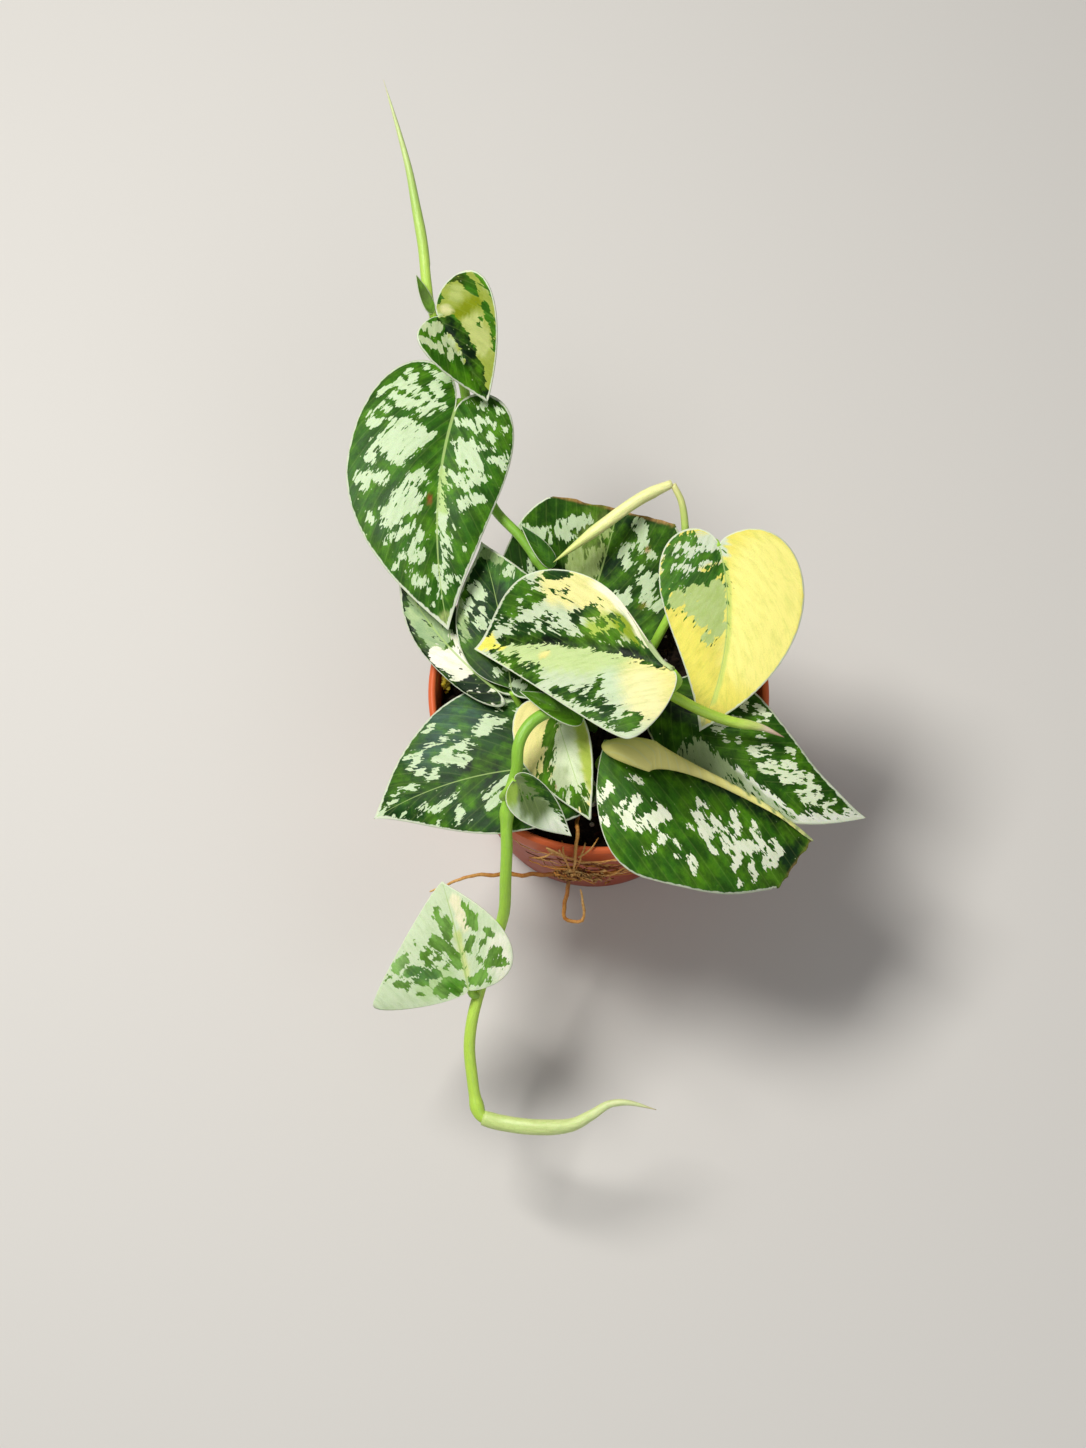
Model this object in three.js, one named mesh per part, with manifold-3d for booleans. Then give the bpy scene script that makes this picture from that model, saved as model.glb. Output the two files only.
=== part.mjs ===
// A variegated scindapsus in a thin plastic nursery pot.
// Millimetres, +Z up. The origin is the centre of the pot's underside, and the plant's front is towards -Y.
import * as THREE from "three";
import { ParametricGeometry } from "three/addons/geometries/ParametricGeometry.js";
import { mergeVertices } from "three/addons/utils/BufferGeometryUtils.js";
import Module from "manifold-3d";

const wasm = await Module();
wasm.setup();

// Driving dimensions of the pot and its soil
const POT_HEIGHT = 105;
const RIM_RADIUS = 60;
const RIM_BAND_HEIGHT = 11;
const RIM_LIP = 2.6;
const WALL = 1.5;
const BASE_RADIUS = 43;
const FLOOR = 1.8;
const FOOT_LIFT = 2.5;
const FOOT_WIDTH = 4.5;
const HUB_RADIUS = 12;
const DRAIN_HOLES = 8;
const DRAIN_RADIUS = 3.5;
const DRAIN_CIRCLE = 25;
const SOIL_EDGE = 91.5;
const SOIL_CROWN = 94;
const ROUND_STEPS = 40;
const BAND_FOOT = POT_HEIGHT - RIM_BAND_HEIGHT;
const FLOOR_TOP = FOOT_LIFT + FLOOR;
const MOUTH_RADIUS = RIM_RADIUS - RIM_LIP;

// Clearance between pieces that touch, and how deep a stem is planted
const GAP = 0.3;
const PLANTED = 84;

// Driving dimensions of the leaf blades and of their stalks
const MIDRIB_THICKNESS = 1.1;
const MARGIN_THICKNESS = 0.5;
const STALK_RADIUS = 1.4;
const TUBE_SIDES = 8;
const TUBE_STEP = 6;
const STALK_STEP = 4;

const GREEN = 0x2f6b2a;
const YELLOW = 0xf2e070;
const SAGE = 0xb4c79a;
const STEM_GREEN = 0x93c24a;
const SHOOT_GREEN = 0xc3dc70;
const TERRACOTTA = 0xd0693f;
const SOIL_BROWN = 0x1c1613;
const ROOT_BROWN = 0xa0673a;
const SHEATH_OLIVE = 0x4d6b25;

const plant = new THREE.Group();
const vector = ([x, y, z]) => new THREE.Vector3(x, y, z);
const radians = THREE.MathUtils.degToRad;

// Materials

function matte(color, roughness = 0.6) {
  return new THREE.MeshStandardMaterial({ color, roughness, metalness: 0 });
}

// Closed solids

// A geometry with its shared corners merged, its flat triangles dropped and its faces turned out
function closed(geometry) {
  geometry.deleteAttribute("normal");
  geometry.deleteAttribute("uv");
  const merged = mergeVertices(geometry, 1e-4);
  const position = merged.attributes.position.array;
  const index = [];
  for (let i = 0; i < merged.index.count; i += 3) {
    const [a, b, c] = merged.index.array.slice(i, i + 3);
    if (a !== b && b !== c && c !== a) index.push(a, b, c);
  }
  if (signedVolume(position, index) < 0) index.reverse();
  merged.setIndex(index);
  return merged;
}

function signedVolume(position, index) {
  const corner = (i) => new THREE.Vector3().fromArray(position, 3 * i);
  let sum = 0;
  for (let i = 0; i < index.length; i += 3) {
    sum += corner(index[i]).dot(corner(index[i + 1]).cross(corner(index[i + 2]))) / 6;
  }
  return sum;
}

function solid(geometry) {
  const mesh = new wasm.Mesh({
    numProp: 3,
    vertProperties: new Float32Array(geometry.attributes.position.array),
    triVerts: new Uint32Array(geometry.index.array),
  });
  return new wasm.Manifold(mesh);
}

function geometryOf(manifold) {
  const mesh = manifold.getMesh();
  const geometry = new THREE.BufferGeometry();
  geometry.setAttribute("position", new THREE.Float32BufferAttribute(mesh.vertProperties, 3));
  geometry.setIndex(Array.from(mesh.triVerts));
  return geometry;
}

// The largest piece of a solid that is left when its neighbours, grown by the clearance, are cut away
function trimmed(geometry, neighbours) {
  let rest = solid(geometry);
  for (const neighbour of neighbours) rest = rest.subtract(solid(neighbour));
  const pieces = rest.decompose().sort((a, b) => b.volume() - a.volume());
  return geometryOf(pieces[0]);
}

function add(name, geometry, material) {
  const mesh = new THREE.Mesh(geometry, material);
  mesh.name = name;
  plant.add(mesh);
}

// Pot: a moulded shell with a thick rim band, a raised floor on a foot ring, a flat hub and drain holes

function wallInside(height) {
  return THREE.MathUtils.mapLinear(height, FLOOR_TOP, BAND_FOOT, BASE_RADIUS - WALL, MOUTH_RADIUS - WALL);
}

function potGeometry() {
  const footInner = BASE_RADIUS - FOOT_WIDTH;
  const profile = [
    [0, 0],
    [HUB_RADIUS, 0],
    [HUB_RADIUS + 1, FOOT_LIFT],
    [footInner - 1, FOOT_LIFT],
    [footInner, 0],
    [BASE_RADIUS - 0.8, 0],
    [BASE_RADIUS, 1],
    [MOUTH_RADIUS, BAND_FOOT - 0.8],
    [RIM_RADIUS - 0.6, BAND_FOOT],
    [RIM_RADIUS, BAND_FOOT + 0.8],
    [RIM_RADIUS, POT_HEIGHT - 0.8],
    [RIM_RADIUS - 0.8, POT_HEIGHT],
    [MOUTH_RADIUS + 0.6, POT_HEIGHT],
    [MOUTH_RADIUS, POT_HEIGHT - 0.6],
    [wallInside(BAND_FOOT), BAND_FOOT],
    [wallInside(FLOOR_TOP), FLOOR_TOP],
    [0, FLOOR_TOP],
  ].map(([x, y]) => new THREE.Vector2(x, y));
  const shell = new THREE.LatheGeometry(profile, ROUND_STEPS);
  shell.rotateX(Math.PI / 2);
  let body = solid(closed(shell));
  for (let i = 0; i < DRAIN_HOLES; i++) {
    const angle = (2 * Math.PI * i) / DRAIN_HOLES;
    const drill = new THREE.CylinderGeometry(DRAIN_RADIUS, DRAIN_RADIUS, 4 * FOOT_LIFT, 12);
    drill.rotateX(Math.PI / 2);
    drill.translate(DRAIN_CIRCLE * Math.cos(angle), DRAIN_CIRCLE * Math.sin(angle), FOOT_LIFT);
    body = body.subtract(solid(closed(drill)));
  }
  return geometryOf(body);
}

// Tubes: stems, stalks and roots of one radius along a curve, and rolled shoots that taper to a point

function curveThrough(points) {
  return new THREE.CatmullRomCurve3(points.map(vector));
}

function tube(points, radius, sides = TUBE_SIDES, step = TUBE_STEP) {
  const section = new THREE.Shape();
  section.absarc(0, 0, radius, 0, 2 * Math.PI);
  const path = curveThrough(points);
  const steps = Math.max(2, Math.round(path.getLength() / step));
  const geometry = new THREE.ExtrudeGeometry(section, {
    steps,
    curveSegments: sides / 2,
    extrudePath: path,
    bevelEnabled: false,
  });
  return closed(geometry);
}

function rolledShoot(points, radius) {
  const path = curveThrough(points);
  const rows = Math.round(path.getLength() / TUBE_STEP) + 3;
  const frames = path.computeFrenetFrames(rows, false);
  const surface = (u, v, target) => {
    const row = Math.round(v * rows);
    const along = THREE.MathUtils.clamp((row - 1) / (rows - 2), 0, 1);
    const taper = Math.min(1, 1.6 * (1 - along)) ** 0.7;
    const reach = row === 0 || row === rows ? 0 : radius * taper;
    const turn = (2 * Math.PI * (Math.round(u * TUBE_SIDES) % TUBE_SIDES)) / TUBE_SIDES;
    target.copy(path.getPointAt(along));
    target.addScaledVector(frames.normals[row], reach * Math.cos(turn));
    target.addScaledVector(frames.binormals[row], reach * Math.sin(turn));
  };
  return closed(new ParametricGeometry(surface, TUBE_SIDES, rows));
}

// Leaf blades: each half has its own width, basal lobe and fold, and the midrib droops and sweeps.
// Halves are as seen from the stalk, looking to the tip, with the upper face up. Angles are in degrees.

const HALF_SHAPE = { widest: 0.27, full: 0.3, nose: 0.22, blunt: 0 };
const LOBE_SHARE = 1 / 3;
const BLUNT_START = 10 / 12;

function bezier(a, b, c, d, t) {
  const s = 1 - t;
  const mix = (i) => a[i] * s ** 3 + 3 * b[i] * s * s * t + 3 * c[i] * s * t * t + d[i] * t ** 3;
  return [mix(0), mix(1)];
}

// The outline of one half: distance out from the midrib and distance along it, for v from 0 to 1
function marginPoint(half, length, v) {
  const { width, lobe, widest, full, nose, blunt } = half;
  const shoulder = [width, widest * length];
  if (v < LOBE_SHARE) {
    const lobeOuter = [width, -1.45 * lobe];
    return bezier([0, 0], [0.02 * width, -1.25 * lobe], lobeOuter, shoulder, v / LOBE_SHARE);
  }
  const sideEnd = blunt > 0 ? BLUNT_START : 1;
  if (v > sideEnd) {
    const t = (v - sideEnd) / (1 - sideEnd);
    return [blunt * (1 - t), length];
  }
  const side = [width, (widest + full) * length];
  const end = [blunt + nose * width, 0.86 * length];
  return bezier(shoulder, side, end, [blunt, length], (v - LOBE_SHARE) / (sideEnd - LOBE_SHARE));
}

// The midrib as a function of distance, with the blade's sideways and upward directions there
function midrib(leaf) {
  const { base, length, heading, pitch, droop, sweep } = leaf;
  const direction = (distance) => {
    const share = distance / length;
    const rise = radians(pitch - droop * share);
    const turn = radians(heading + sweep * share);
    const ahead = new THREE.Vector3(
      Math.cos(rise) * Math.sin(turn),
      Math.cos(rise) * Math.cos(turn),
      Math.sin(rise),
    );
    const side = new THREE.Vector3(Math.cos(turn), -Math.sin(turn), 0);
    return { ahead, side, up: side.clone().cross(ahead) };
  };
  return (distance) => {
    const pieces = 24;
    const point = vector(base);
    for (let i = 0; i < pieces; i++) {
      const middle = (distance * (i + 0.5)) / pieces;
      point.addScaledVector(direction(middle).ahead, distance / pieces);
    }
    return { point, ...direction(distance) };
  };
}

// The cross-section of one half: how far out and up it goes for each share of its width
function foldSection(half, share) {
  const pieces = 24;
  let out = 0;
  let up = 0;
  for (let i = 0; i < pieces; i++) {
    const angle = radians(half.fold + (half.curl * share * (i + 0.5)) / pieces);
    out += (Math.cos(angle) * share) / pieces;
    up += (Math.sin(angle) * share) / pieces;
  }
  return { out, up, angle: radians(half.fold + half.curl * share) };
}

function blade(leaf, { columns = 4, rows = 12, grow = 0 } = {}) {
  const spine = midrib(leaf);
  const halves = { left: { ...HALF_SHAPE, ...leaf.left }, right: { ...HALF_SHAPE, ...leaf.right } };
  const across = 2 * columns + 1;
  const surface = (u, v, target) => {
    const corner = Math.round(u * 2 * across) % (2 * across);
    const isTop = corner < across;
    const column = isTop ? corner - columns : across + columns - corner;
    const sign = Math.sign(column);
    const half = column < 0 ? halves.left : halves.right;
    const share = Math.abs(column) / columns;
    const isEnd = v === 0 || v === 1;
    const section = foldSection(half, share);
    const angle = isEnd ? 0 : section.angle;
    const [reach, along] = marginPoint(half, leaf.length, v);
    const centre = leaf.length * v ** 1.5;
    const shift = grow * (2 * v - 1);
    const { point, side, up } = spine(centre + (along - centre) * share ** 1.2 + shift);
    const stretched = isEnd ? 0 : reach * (1 + grow / half.width);
    const thinning = isEnd ? 0 : (MIDRIB_THICKNESS - MARGIN_THICKNESS) * share;
    const lift = (isTop ? 1 : -1) * ((MIDRIB_THICKNESS - thinning) / 2 + grow);
    target.copy(point);
    target.addScaledVector(side, sign * (stretched * section.out - lift * Math.sin(angle)));
    target.addScaledVector(up, stretched * section.up + lift * Math.cos(angle));
  };
  return closed(new ParametricGeometry(surface, 2 * across, rows));
}

// The thirteen leaves and three dry sheaths

const LEAVES = {
  back_left: {
    base: [-51, 95.5, 131], length: 79, heading: 195, pitch: 2, droop: 30, sweep: -28, color: GREEN,
    left: { width: 24, lobe: 12, fold: 14, curl: -30, widest: 0.17 },
    right: { width: 34, lobe: 19, fold: 14, curl: -30 },
  },
  folded_back: {
    base: [-56.5, 124, 148], length: 40, heading: 141, pitch: -16, droop: 10, sweep: 7, color: GREEN,
    left: { width: 20, lobe: 9, fold: 30, curl: 10, widest: 0.02 },
    right: { width: 15, lobe: 1, fold: 45, curl: -10, widest: 0.2 },
  },
  centre: {
    base: [23.5, -11, 152], length: 79, heading: 298, pitch: -13, droop: 25, sweep: -22, color: SAGE,
    left: { width: 31, lobe: 5, fold: 22, curl: -20, widest: 0.03 },
    right: { width: 25, lobe: -13, fold: 28, curl: -10, widest: 0.58 },
  },
  yellow: {
    base: [42, 45, 127], length: 67, heading: 167, pitch: -5, droop: 14, sweep: 40, color: YELLOW,
    left: { width: 27, lobe: 5, fold: 12, curl: -20, widest: 0.24 },
    right: { width: 23.5, lobe: 11, fold: 12, curl: -20, widest: 0.2 },
  },
  cut: {
    base: [-5.5, 26.5, 101], length: 43, heading: 23, pitch: 22, droop: -10, sweep: -8, color: GREEN,
    left: { width: 35, lobe: 6, fold: 12, curl: -10, widest: 0.25, full: 0.4, blunt: 23 },
    right: { width: 28, lobe: 6, fold: 12, curl: -10, full: 0.4, blunt: 21 },
  },
  under: {
    base: [-30.5, -3, 107], length: 58, heading: -7, pitch: 15, droop: 20, sweep: -8, color: GREEN,
    left: { width: 16, lobe: -2, fold: 5, curl: -20, widest: 0.41 },
    right: { width: 23, lobe: 5, fold: 10, curl: -10 },
  },
  left_rim: {
    base: [-38, -1, 104.5], length: 56, heading: -52, pitch: 20, droop: 30, sweep: 31, color: SAGE,
    left: { width: 10.5, lobe: 7, fold: -8, curl: -25, widest: 0.34 },
    right: { width: 12, lobe: 9, fold: -5, curl: -20 },
  },
  front_left: {
    base: [-11.5, -31, 110], length: 71, heading: -89, pitch: 5, droop: 34, sweep: -27, color: GREEN,
    left: { width: 22, lobe: 14, fold: 8, curl: -20, widest: 0.32 },
    right: { width: 33, lobe: 6, fold: 8, curl: -20, widest: 0.31 },
  },
  cream: {
    base: [-15, -13.6, 116], length: 38.6, heading: 165, pitch: -3, droop: 8, sweep: -5, color: YELLOW,
    left: { width: 11.5, lobe: 3, fold: 58, curl: 0, widest: 0.24 },
    right: { width: 17, lobe: 8, fold: 8, curl: 0, widest: 0.21 },
  },
  small: {
    base: [-29, -43, 135], length: 27, heading: 133, pitch: -6, droop: 15, sweep: 1, color: GREEN,
    left: { width: 6, lobe: 1, fold: 40, curl: 0, widest: 0.3 },
    right: { width: 10, lobe: 0, fold: 20, curl: 0, widest: 0.3 },
  },
  rolled_edge: {
    base: [1, -33, 117], length: 82, heading: 94, pitch: 3, droop: 40, sweep: 26, color: GREEN,
    left: { width: 30, lobe: 5, fold: 35, curl: 150, widest: 0.14, full: 0.05, nose: 0.12 },
    right: { width: 32, lobe: 4, fold: 2, curl: -20, widest: 0.33, full: 0.46, blunt: 20 },
  },
  right: {
    base: [24, -3, 108], length: 88, heading: 150, pitch: 8, droop: 36, sweep: -62, color: GREEN,
    left: { width: 24.5, lobe: 5, fold: 10, curl: -15, widest: 0.25 },
    right: { width: 15.5, lobe: 5, fold: -4, curl: -15 },
  },
  pale: {
    base: [-45.5, -101, 76], length: 39, heading: -12, pitch: 17, droop: 10, sweep: -5, color: SAGE,
    left: { width: 34, lobe: 3, fold: 0, curl: -10, widest: 0.03, full: 0.1, nose: 0.3 },
    right: { width: 18.5, lobe: 1, fold: 25, curl: -10 },
  },
};

const SHEATH_SHAPE = { lobe: 0, curl: 10, widest: 0.3 };

function sheath(base, length, heading, pitch, droop, width, fold) {
  const half = { ...SHEATH_SHAPE, width, fold };
  return { base, length, heading, pitch, droop, sweep: 0, left: half, right: half };
}

const SHEATHS = {
  front_sheath: sheath([-6.5, -22, 131.5], 24, -62, 12, 20, 4.5, 30),
  back_sheath: sheath([-59.5, 123, 150], 15, -30, 35, -15, 2.2, 35),
  middle_sheath: sheath([-15.9, 42.2, 115.2], 19, -42, 30, 10, 3.5, 35),
};

// Stems: planted in the soil and led by hand along the routes that they grew

const BACK_STEM = {
  radius: 1.65,
  points: [
    [-2, 17, PLANTED], [-2, 15.5, 98], [-8.5, 27.5, 109], [-19, 41, 115], [-27.5, 52.5, 118],
    [-37.5, 64, 120], [-43, 83, 122], [-47, 102.5, 126], [-49, 109.5, 131], [-54, 114, 137],
    [-58.2, 124.6, 146.5],
  ],
};
const FRONT_STEM = {
  radius: 2.05,
  points: [
    [-4, -10, PLANTED], [-4.5, -11, 105], [-5, -13, 117], [-6.3, -16.5, 126], [-10, -18.6, 129.4],
    [-16, -17.3, 129.8], [-22, -20, 130], [-26, -24.5, 129.5], [-28, -29.5, 128], [-28.5, -36, 124],
    [-31, -43.5, 119], [-32, -51, 114.5], [-32, -59.5, 108], [-32.5, -68, 99], [-33, -75.5, 89],
    [-35, -81, 81], [-38.5, -90, 74], [-42, -100, 69], [-44.5, -109.5, 66], [-45.5, -118.5, 62],
    [-44.5, -128.5, 58], [-43, -137, 55],
  ],
};
const RIGHT_STEM = {
  radius: 1.5,
  points: [
    [14, 12, PLANTED], [16, 12, 99], [21, 18, 110], [26.5, 27.5, 117], [30.3, 40.8, 121.5],
    [30.3, 52.5, 125], [29, 61, 129], [26, 67, 131],
  ],
};
const MIDDLE_STEM = {
  radius: 1.5,
  points: [[10.5, 3.5, PLANTED], [11.5, -3.5, 106], [16.5, -7.5, 120], [21.5, -9, 127]],
};
const STEMS = {
  back_stem: BACK_STEM,
  front_stem: FRONT_STEM,
  right_stem: RIGHT_STEM,
  middle_stem: MIDDLE_STEM,
};

// Rolled growing ends, each from the last node of its stem
const SHOOTS = {
  back_shoot: {
    radius: 1.9,
    from: BACK_STEM,
    points: [
      [-58.6, 125.6, 147.4], [-60.5, 134.5, 152], [-62, 148, 156], [-64.5, 161.5, 160], [-67, 174, 164],
      [-71, 188.5, 168], [-76, 204.5, 173],
    ],
  },
  front_shoot: {
    radius: 3,
    from: FRONT_STEM,
    points: [
      [-43.4, -139.6, 54.4], [-34.5, -143, 54], [-22.5, -145.5, 56], [-10, -145, 57], [-2.5, -141.5, 58],
      [3.5, -138, 59], [10, -137.5, 60], [20, -140, 60],
    ],
  },
  rolled_leaf: {
    radius: 2,
    from: RIGHT_STEM,
    points: [[25.6, 67.2, 131.1], [14.5, 62, 130], [0.5, 53, 126], [-16, 42, 120]],
  },
  middle_shoot: {
    radius: 1.6,
    from: MIDDLE_STEM,
    points: [
      [21.8, -9.1, 127.2], [34.5, -15, 124], [45, -17.5, 120], [55.5, -18.5, 117], [63.5, -21, 114],
    ],
  },
};

// Leaf stalks: from the soil, or from the stem they grew on, to the base of the blade
const STALKS = {
  back_left: {
    from: BACK_STEM,
    points: [[-46, 99, 125.8], [-48.5, 101.5, 129], [-51, 99.5, 131], [-51, 95.5, 130.8]],
  },
  centre: {
    from: MIDDLE_STEM,
    points: [[18.6, -8.3, 123.5], [19.2, -12, 130], [23, -13.5, 140], [25.5, -13, 148], [23.5, -11, 151.6]],
  },
  yellow: {
    from: RIGHT_STEM,
    points: [[31, 43, 122], [35.5, 47, 122.5], [40, 48, 125], [42, 45, 126.6]],
  },
  small: {
    from: FRONT_STEM,
    points: [[-31, -43.8, 119.3], [-33, -46.5, 126], [-31.5, -46, 132], [-29, -43, 134.7]],
  },
  pale: {
    from: FRONT_STEM,
    points: [[-42.5, -101.5, 68.8], [-45, -104.5, 72.5], [-45.5, -101, 75.7]],
  },
  cut: { points: [[-10, 14, PLANTED], [-10.5, 16, 94], [-8.5, 21, 99], [-5.5, 26.5, 100.6]] },
  under: { points: [[-22, -14, PLANTED], [-23.5, -12, 97], [-27, -8, 104], [-30.5, -3, 106.6]] },
  left_rim: { points: [[-28, -5, PLANTED], [-30, -5, 96], [-35, -3, 100.4], [-38, -1, 104]] },
  front_left: { points: [[-3, -25, PLANTED], [-3.5, -28, 99], [-6.5, -31, 106], [-11.5, -31, 109.6]] },
  cream: { points: [[-8, -3, PLANTED], [-8, -4, 103], [-10, -8, 112], [-15, -13.6, 115.6]] },
  rolled_edge: { points: [[6, -31, PLANTED], [2.5, -33, 100], [-1.5, -34, 111], [1, -33, 116.6]] },
  right: { points: [[17, 9, PLANTED], [17.5, 8.5, 97], [20, 4, 104.5], [24, -3, 107.6]] },
};

// Aerial roots: brown and dry, from the soil over the rim and down the front of the pot
const ROOT_RADIUS = 0.9;
const ROOT_SIDES = 6;
const ROOT_STEP = 3;
const KNOT = { centre: [-9.6, -63.2, 91.5], radii: [5.6, 2.2, 4] };
const ROOTS = {
  rim_root: [
    [-7, -37, PLANTED + 5], [-7.3, -41, 96], [-7.8, -50, 105.5], [-8.2, -58.5, 107.2],
    [-8.6, -61.8, 104.5], [-9, -62.4, 94],
  ],
  long_root: [
    [-9, -63.2, 90.5], [-24.1, -62.2, 86], [-38.3, -61.5, 84], [-48.9, -62.4, 81], [-59.5, -66.3, 78.5],
  ],
  hanging_root: [
    [-11, -63.5, 90], [-11.5, -68, 85], [-11.8, -72.3, 80], [-10.8, -75.5, 77], [-8, -76.3, 76],
    [-5.8, -75, 77.5], [-6, -70, 82], [-7, -66.5, 86],
  ],
  side_root: [[-8, -63, 91.5], [0.3, -63.2, 90], [7.3, -62, 91], [15.6, -61, 92]],
};

// Assembly

const LEAF_OPTIONS = { rolled_edge: { columns: 5 } };
const FINISH = {
  stem: matte(STEM_GREEN, 0.45),
  shoot: matte(SHOOT_GREEN, 0.4),
  sheath: matte(SHEATH_OLIVE),
};
const ROOT_FINISH = matte(ROOT_BROWN, 0.85);

const grownBlades = {};
for (const [name, leaf] of Object.entries(LEAVES)) {
  grownBlades[name] = blade(leaf, { ...LEAF_OPTIONS[name], grow: GAP });
}

add("pot", potGeometry(), matte(TERRACOTTA, 0.5));

const stemTube = (stem, grow = 0) => tube(stem.points, stem.radius + grow);
const stalkTube = (stalk, grow = 0) => tube(stalk.points, STALK_RADIUS + grow, TUBE_SIDES, STALK_STEP);
const rootTube = (points, grow = 0) => tube(points, ROOT_RADIUS + grow, ROOT_SIDES, ROOT_STEP);

function socketEnd([x, y, z]) {
  const radius = FRONT_STEM.radius + GAP;
  return tube([[x, y, z - GAP], [x, y, z + radius]], radius);
}
const plantedStalks = Object.values(STALKS).filter((stalk) => !stalk.from);
const sockets = [
  ...Object.values(STEMS).map((stem) => stemTube(stem, GAP)),
  ...plantedStalks.map((stalk) => stalkTube(stalk, GAP)),
  rootTube(ROOTS.rim_root, GAP),
  ...[...Object.values(STEMS), ...plantedStalks].map(({ points }) => socketEnd(points[0])),
  socketEnd(ROOTS.rim_root[0]),
];

function soilGeometry() {
  const bottom = FLOOR_TOP + GAP;
  const profile = [
    [0, bottom],
    [wallInside(bottom) - GAP, bottom],
    [wallInside(SOIL_EDGE) - GAP, SOIL_EDGE],
    [0.75 * RIM_RADIUS, SOIL_EDGE + 0.6],
    [0.4 * RIM_RADIUS, SOIL_CROWN - 0.8],
    [0, SOIL_CROWN],
  ].map(([x, y]) => new THREE.Vector2(x, y));
  const heap = new THREE.LatheGeometry(profile, ROUND_STEPS);
  heap.rotateX(Math.PI / 2);
  return trimmed(closed(heap), sockets);
}
add("soil", soilGeometry(), matte(SOIL_BROWN, 0.95));

for (const [name, stem] of Object.entries(STEMS)) {
  const cutters = name === "back_stem" ? [grownBlades.folded_back] : [];
  add(name, trimmed(stemTube(stem), cutters), FINISH.stem);
}
for (const [name, shoot] of Object.entries(SHOOTS)) {
  add(name, trimmed(rolledShoot(shoot.points, shoot.radius), [stemTube(shoot.from, GAP)]), FINISH.shoot);
}
for (const [name, leaf] of Object.entries(LEAVES)) {
  add(`${name}_leaf`, blade(leaf, LEAF_OPTIONS[name]), matte(leaf.color, 0.4));
}
for (const [name, stalk] of Object.entries(STALKS)) {
  const cutters = [grownBlades[name]];
  if (stalk.from) cutters.push(stemTube(stalk.from, GAP));
  add(`${name}_stalk`, trimmed(stalkTube(stalk), cutters), FINISH.stem);
}
for (const [name, leaf] of Object.entries(SHEATHS)) {
  add(name, blade(leaf, { columns: 2, rows: 8 }), FINISH.sheath);
}

function knotGeometry(grow = 0) {
  const ball = new THREE.SphereGeometry(1, 14, 10);
  const [a, b, c] = KNOT.radii;
  ball.rotateX(Math.PI / 2);
  ball.scale(a + grow, b + grow, c + grow);
  ball.translate(...KNOT.centre);
  return closed(ball);
}
add("root_knot", knotGeometry(), ROOT_FINISH);
for (const [name, points] of Object.entries(ROOTS)) {
  add(name, trimmed(rootTube(points), [knotGeometry(GAP)]), ROOT_FINISH);
}

export default plant;
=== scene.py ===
import itertools
import math
import random

import bmesh
import bpy
import numpy as np
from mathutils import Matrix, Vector, geometry, noise


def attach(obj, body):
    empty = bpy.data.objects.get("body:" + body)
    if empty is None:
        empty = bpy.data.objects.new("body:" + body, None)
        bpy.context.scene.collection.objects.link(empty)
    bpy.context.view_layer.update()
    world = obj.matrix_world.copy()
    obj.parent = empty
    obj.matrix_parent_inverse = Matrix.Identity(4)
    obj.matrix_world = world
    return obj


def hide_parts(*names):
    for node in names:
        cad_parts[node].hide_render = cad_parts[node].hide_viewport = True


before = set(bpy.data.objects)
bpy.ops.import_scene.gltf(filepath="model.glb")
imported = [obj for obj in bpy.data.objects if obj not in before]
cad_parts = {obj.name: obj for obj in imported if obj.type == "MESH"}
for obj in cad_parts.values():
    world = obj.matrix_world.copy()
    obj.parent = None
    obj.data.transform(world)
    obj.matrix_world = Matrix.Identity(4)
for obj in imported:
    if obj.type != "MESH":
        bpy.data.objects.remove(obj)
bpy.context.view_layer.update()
scene = bpy.context.scene

# Camera: nearly overhead, a little towards the viewer's side of the table, as one looks down on a plant.
# The angle, place and lens follow from the ellipse of the pot's rim.
CAMERA_TILT = 19.6
camera_data = bpy.data.cameras.new("camera")
camera_data.sensor_width = 36
camera_data.lens = 56.24
camera_data.clip_end = 20
camera = bpy.data.objects.new("camera", camera_data)
camera.location = (-0.0196, -0.2782, 0.8499)
camera.rotation_euler = (math.radians(CAMERA_TILT), 0, 0)
scene.collection.objects.link(camera)
scene.camera = camera

# Pot: a thin nursery pot of terracotta-coloured polypropylene, injection moulded in one piece.
# It has a thick rim band, a tapered wall, and a raised floor with a ring of drain holes round a flat hub.
# The shell is turned on a lathe. Pieces are built in millimetres, and MM turns them into metres.
MM = 0.001
POT_HEIGHT = 105
RIM_RADIUS = 60
MOUTH_RADIUS = 57.4
BAND_FOOT = 94
BASE_RADIUS = 43
WALL = 1.5
FLOOR_TOP = 4.3
FOOT_LIFT = 2.5
FOOT_INNER = 38.5
HUB_RADIUS = 12
DRAIN_HOLES = 8
DRAIN_RADIUS = 3.5
DRAIN_CIRCLE = 25
WALL_FOOT = 1
FOOT_EDGE = 0.8
BAND_EDGE = 0.8
RIM_EDGE = 1.0
EDGE_ROUND = 0.35
SHARP_ANGLE = 25
POT_STEPS = 144


def srgb(red, green, blue):
    """A paint colour, given as 0 to 255 on the screen, as the linear colour of a material."""
    shares = [channel / 255 for channel in (red, green, blue)]
    return tuple(s / 12.92 if s <= 0.04045 else ((s + 0.055) / 1.055) ** 2.4 for s in shares) + (1.0,)


def new_finish(name, roughness):
    """A new material, its node tree and its main shader."""
    finish = bpy.data.materials.new(name)
    finish.use_nodes = True
    shader = finish.node_tree.nodes["Principled BSDF"]
    shader.inputs["Roughness"].default_value = roughness
    return finish, finish.node_tree, shader


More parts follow.
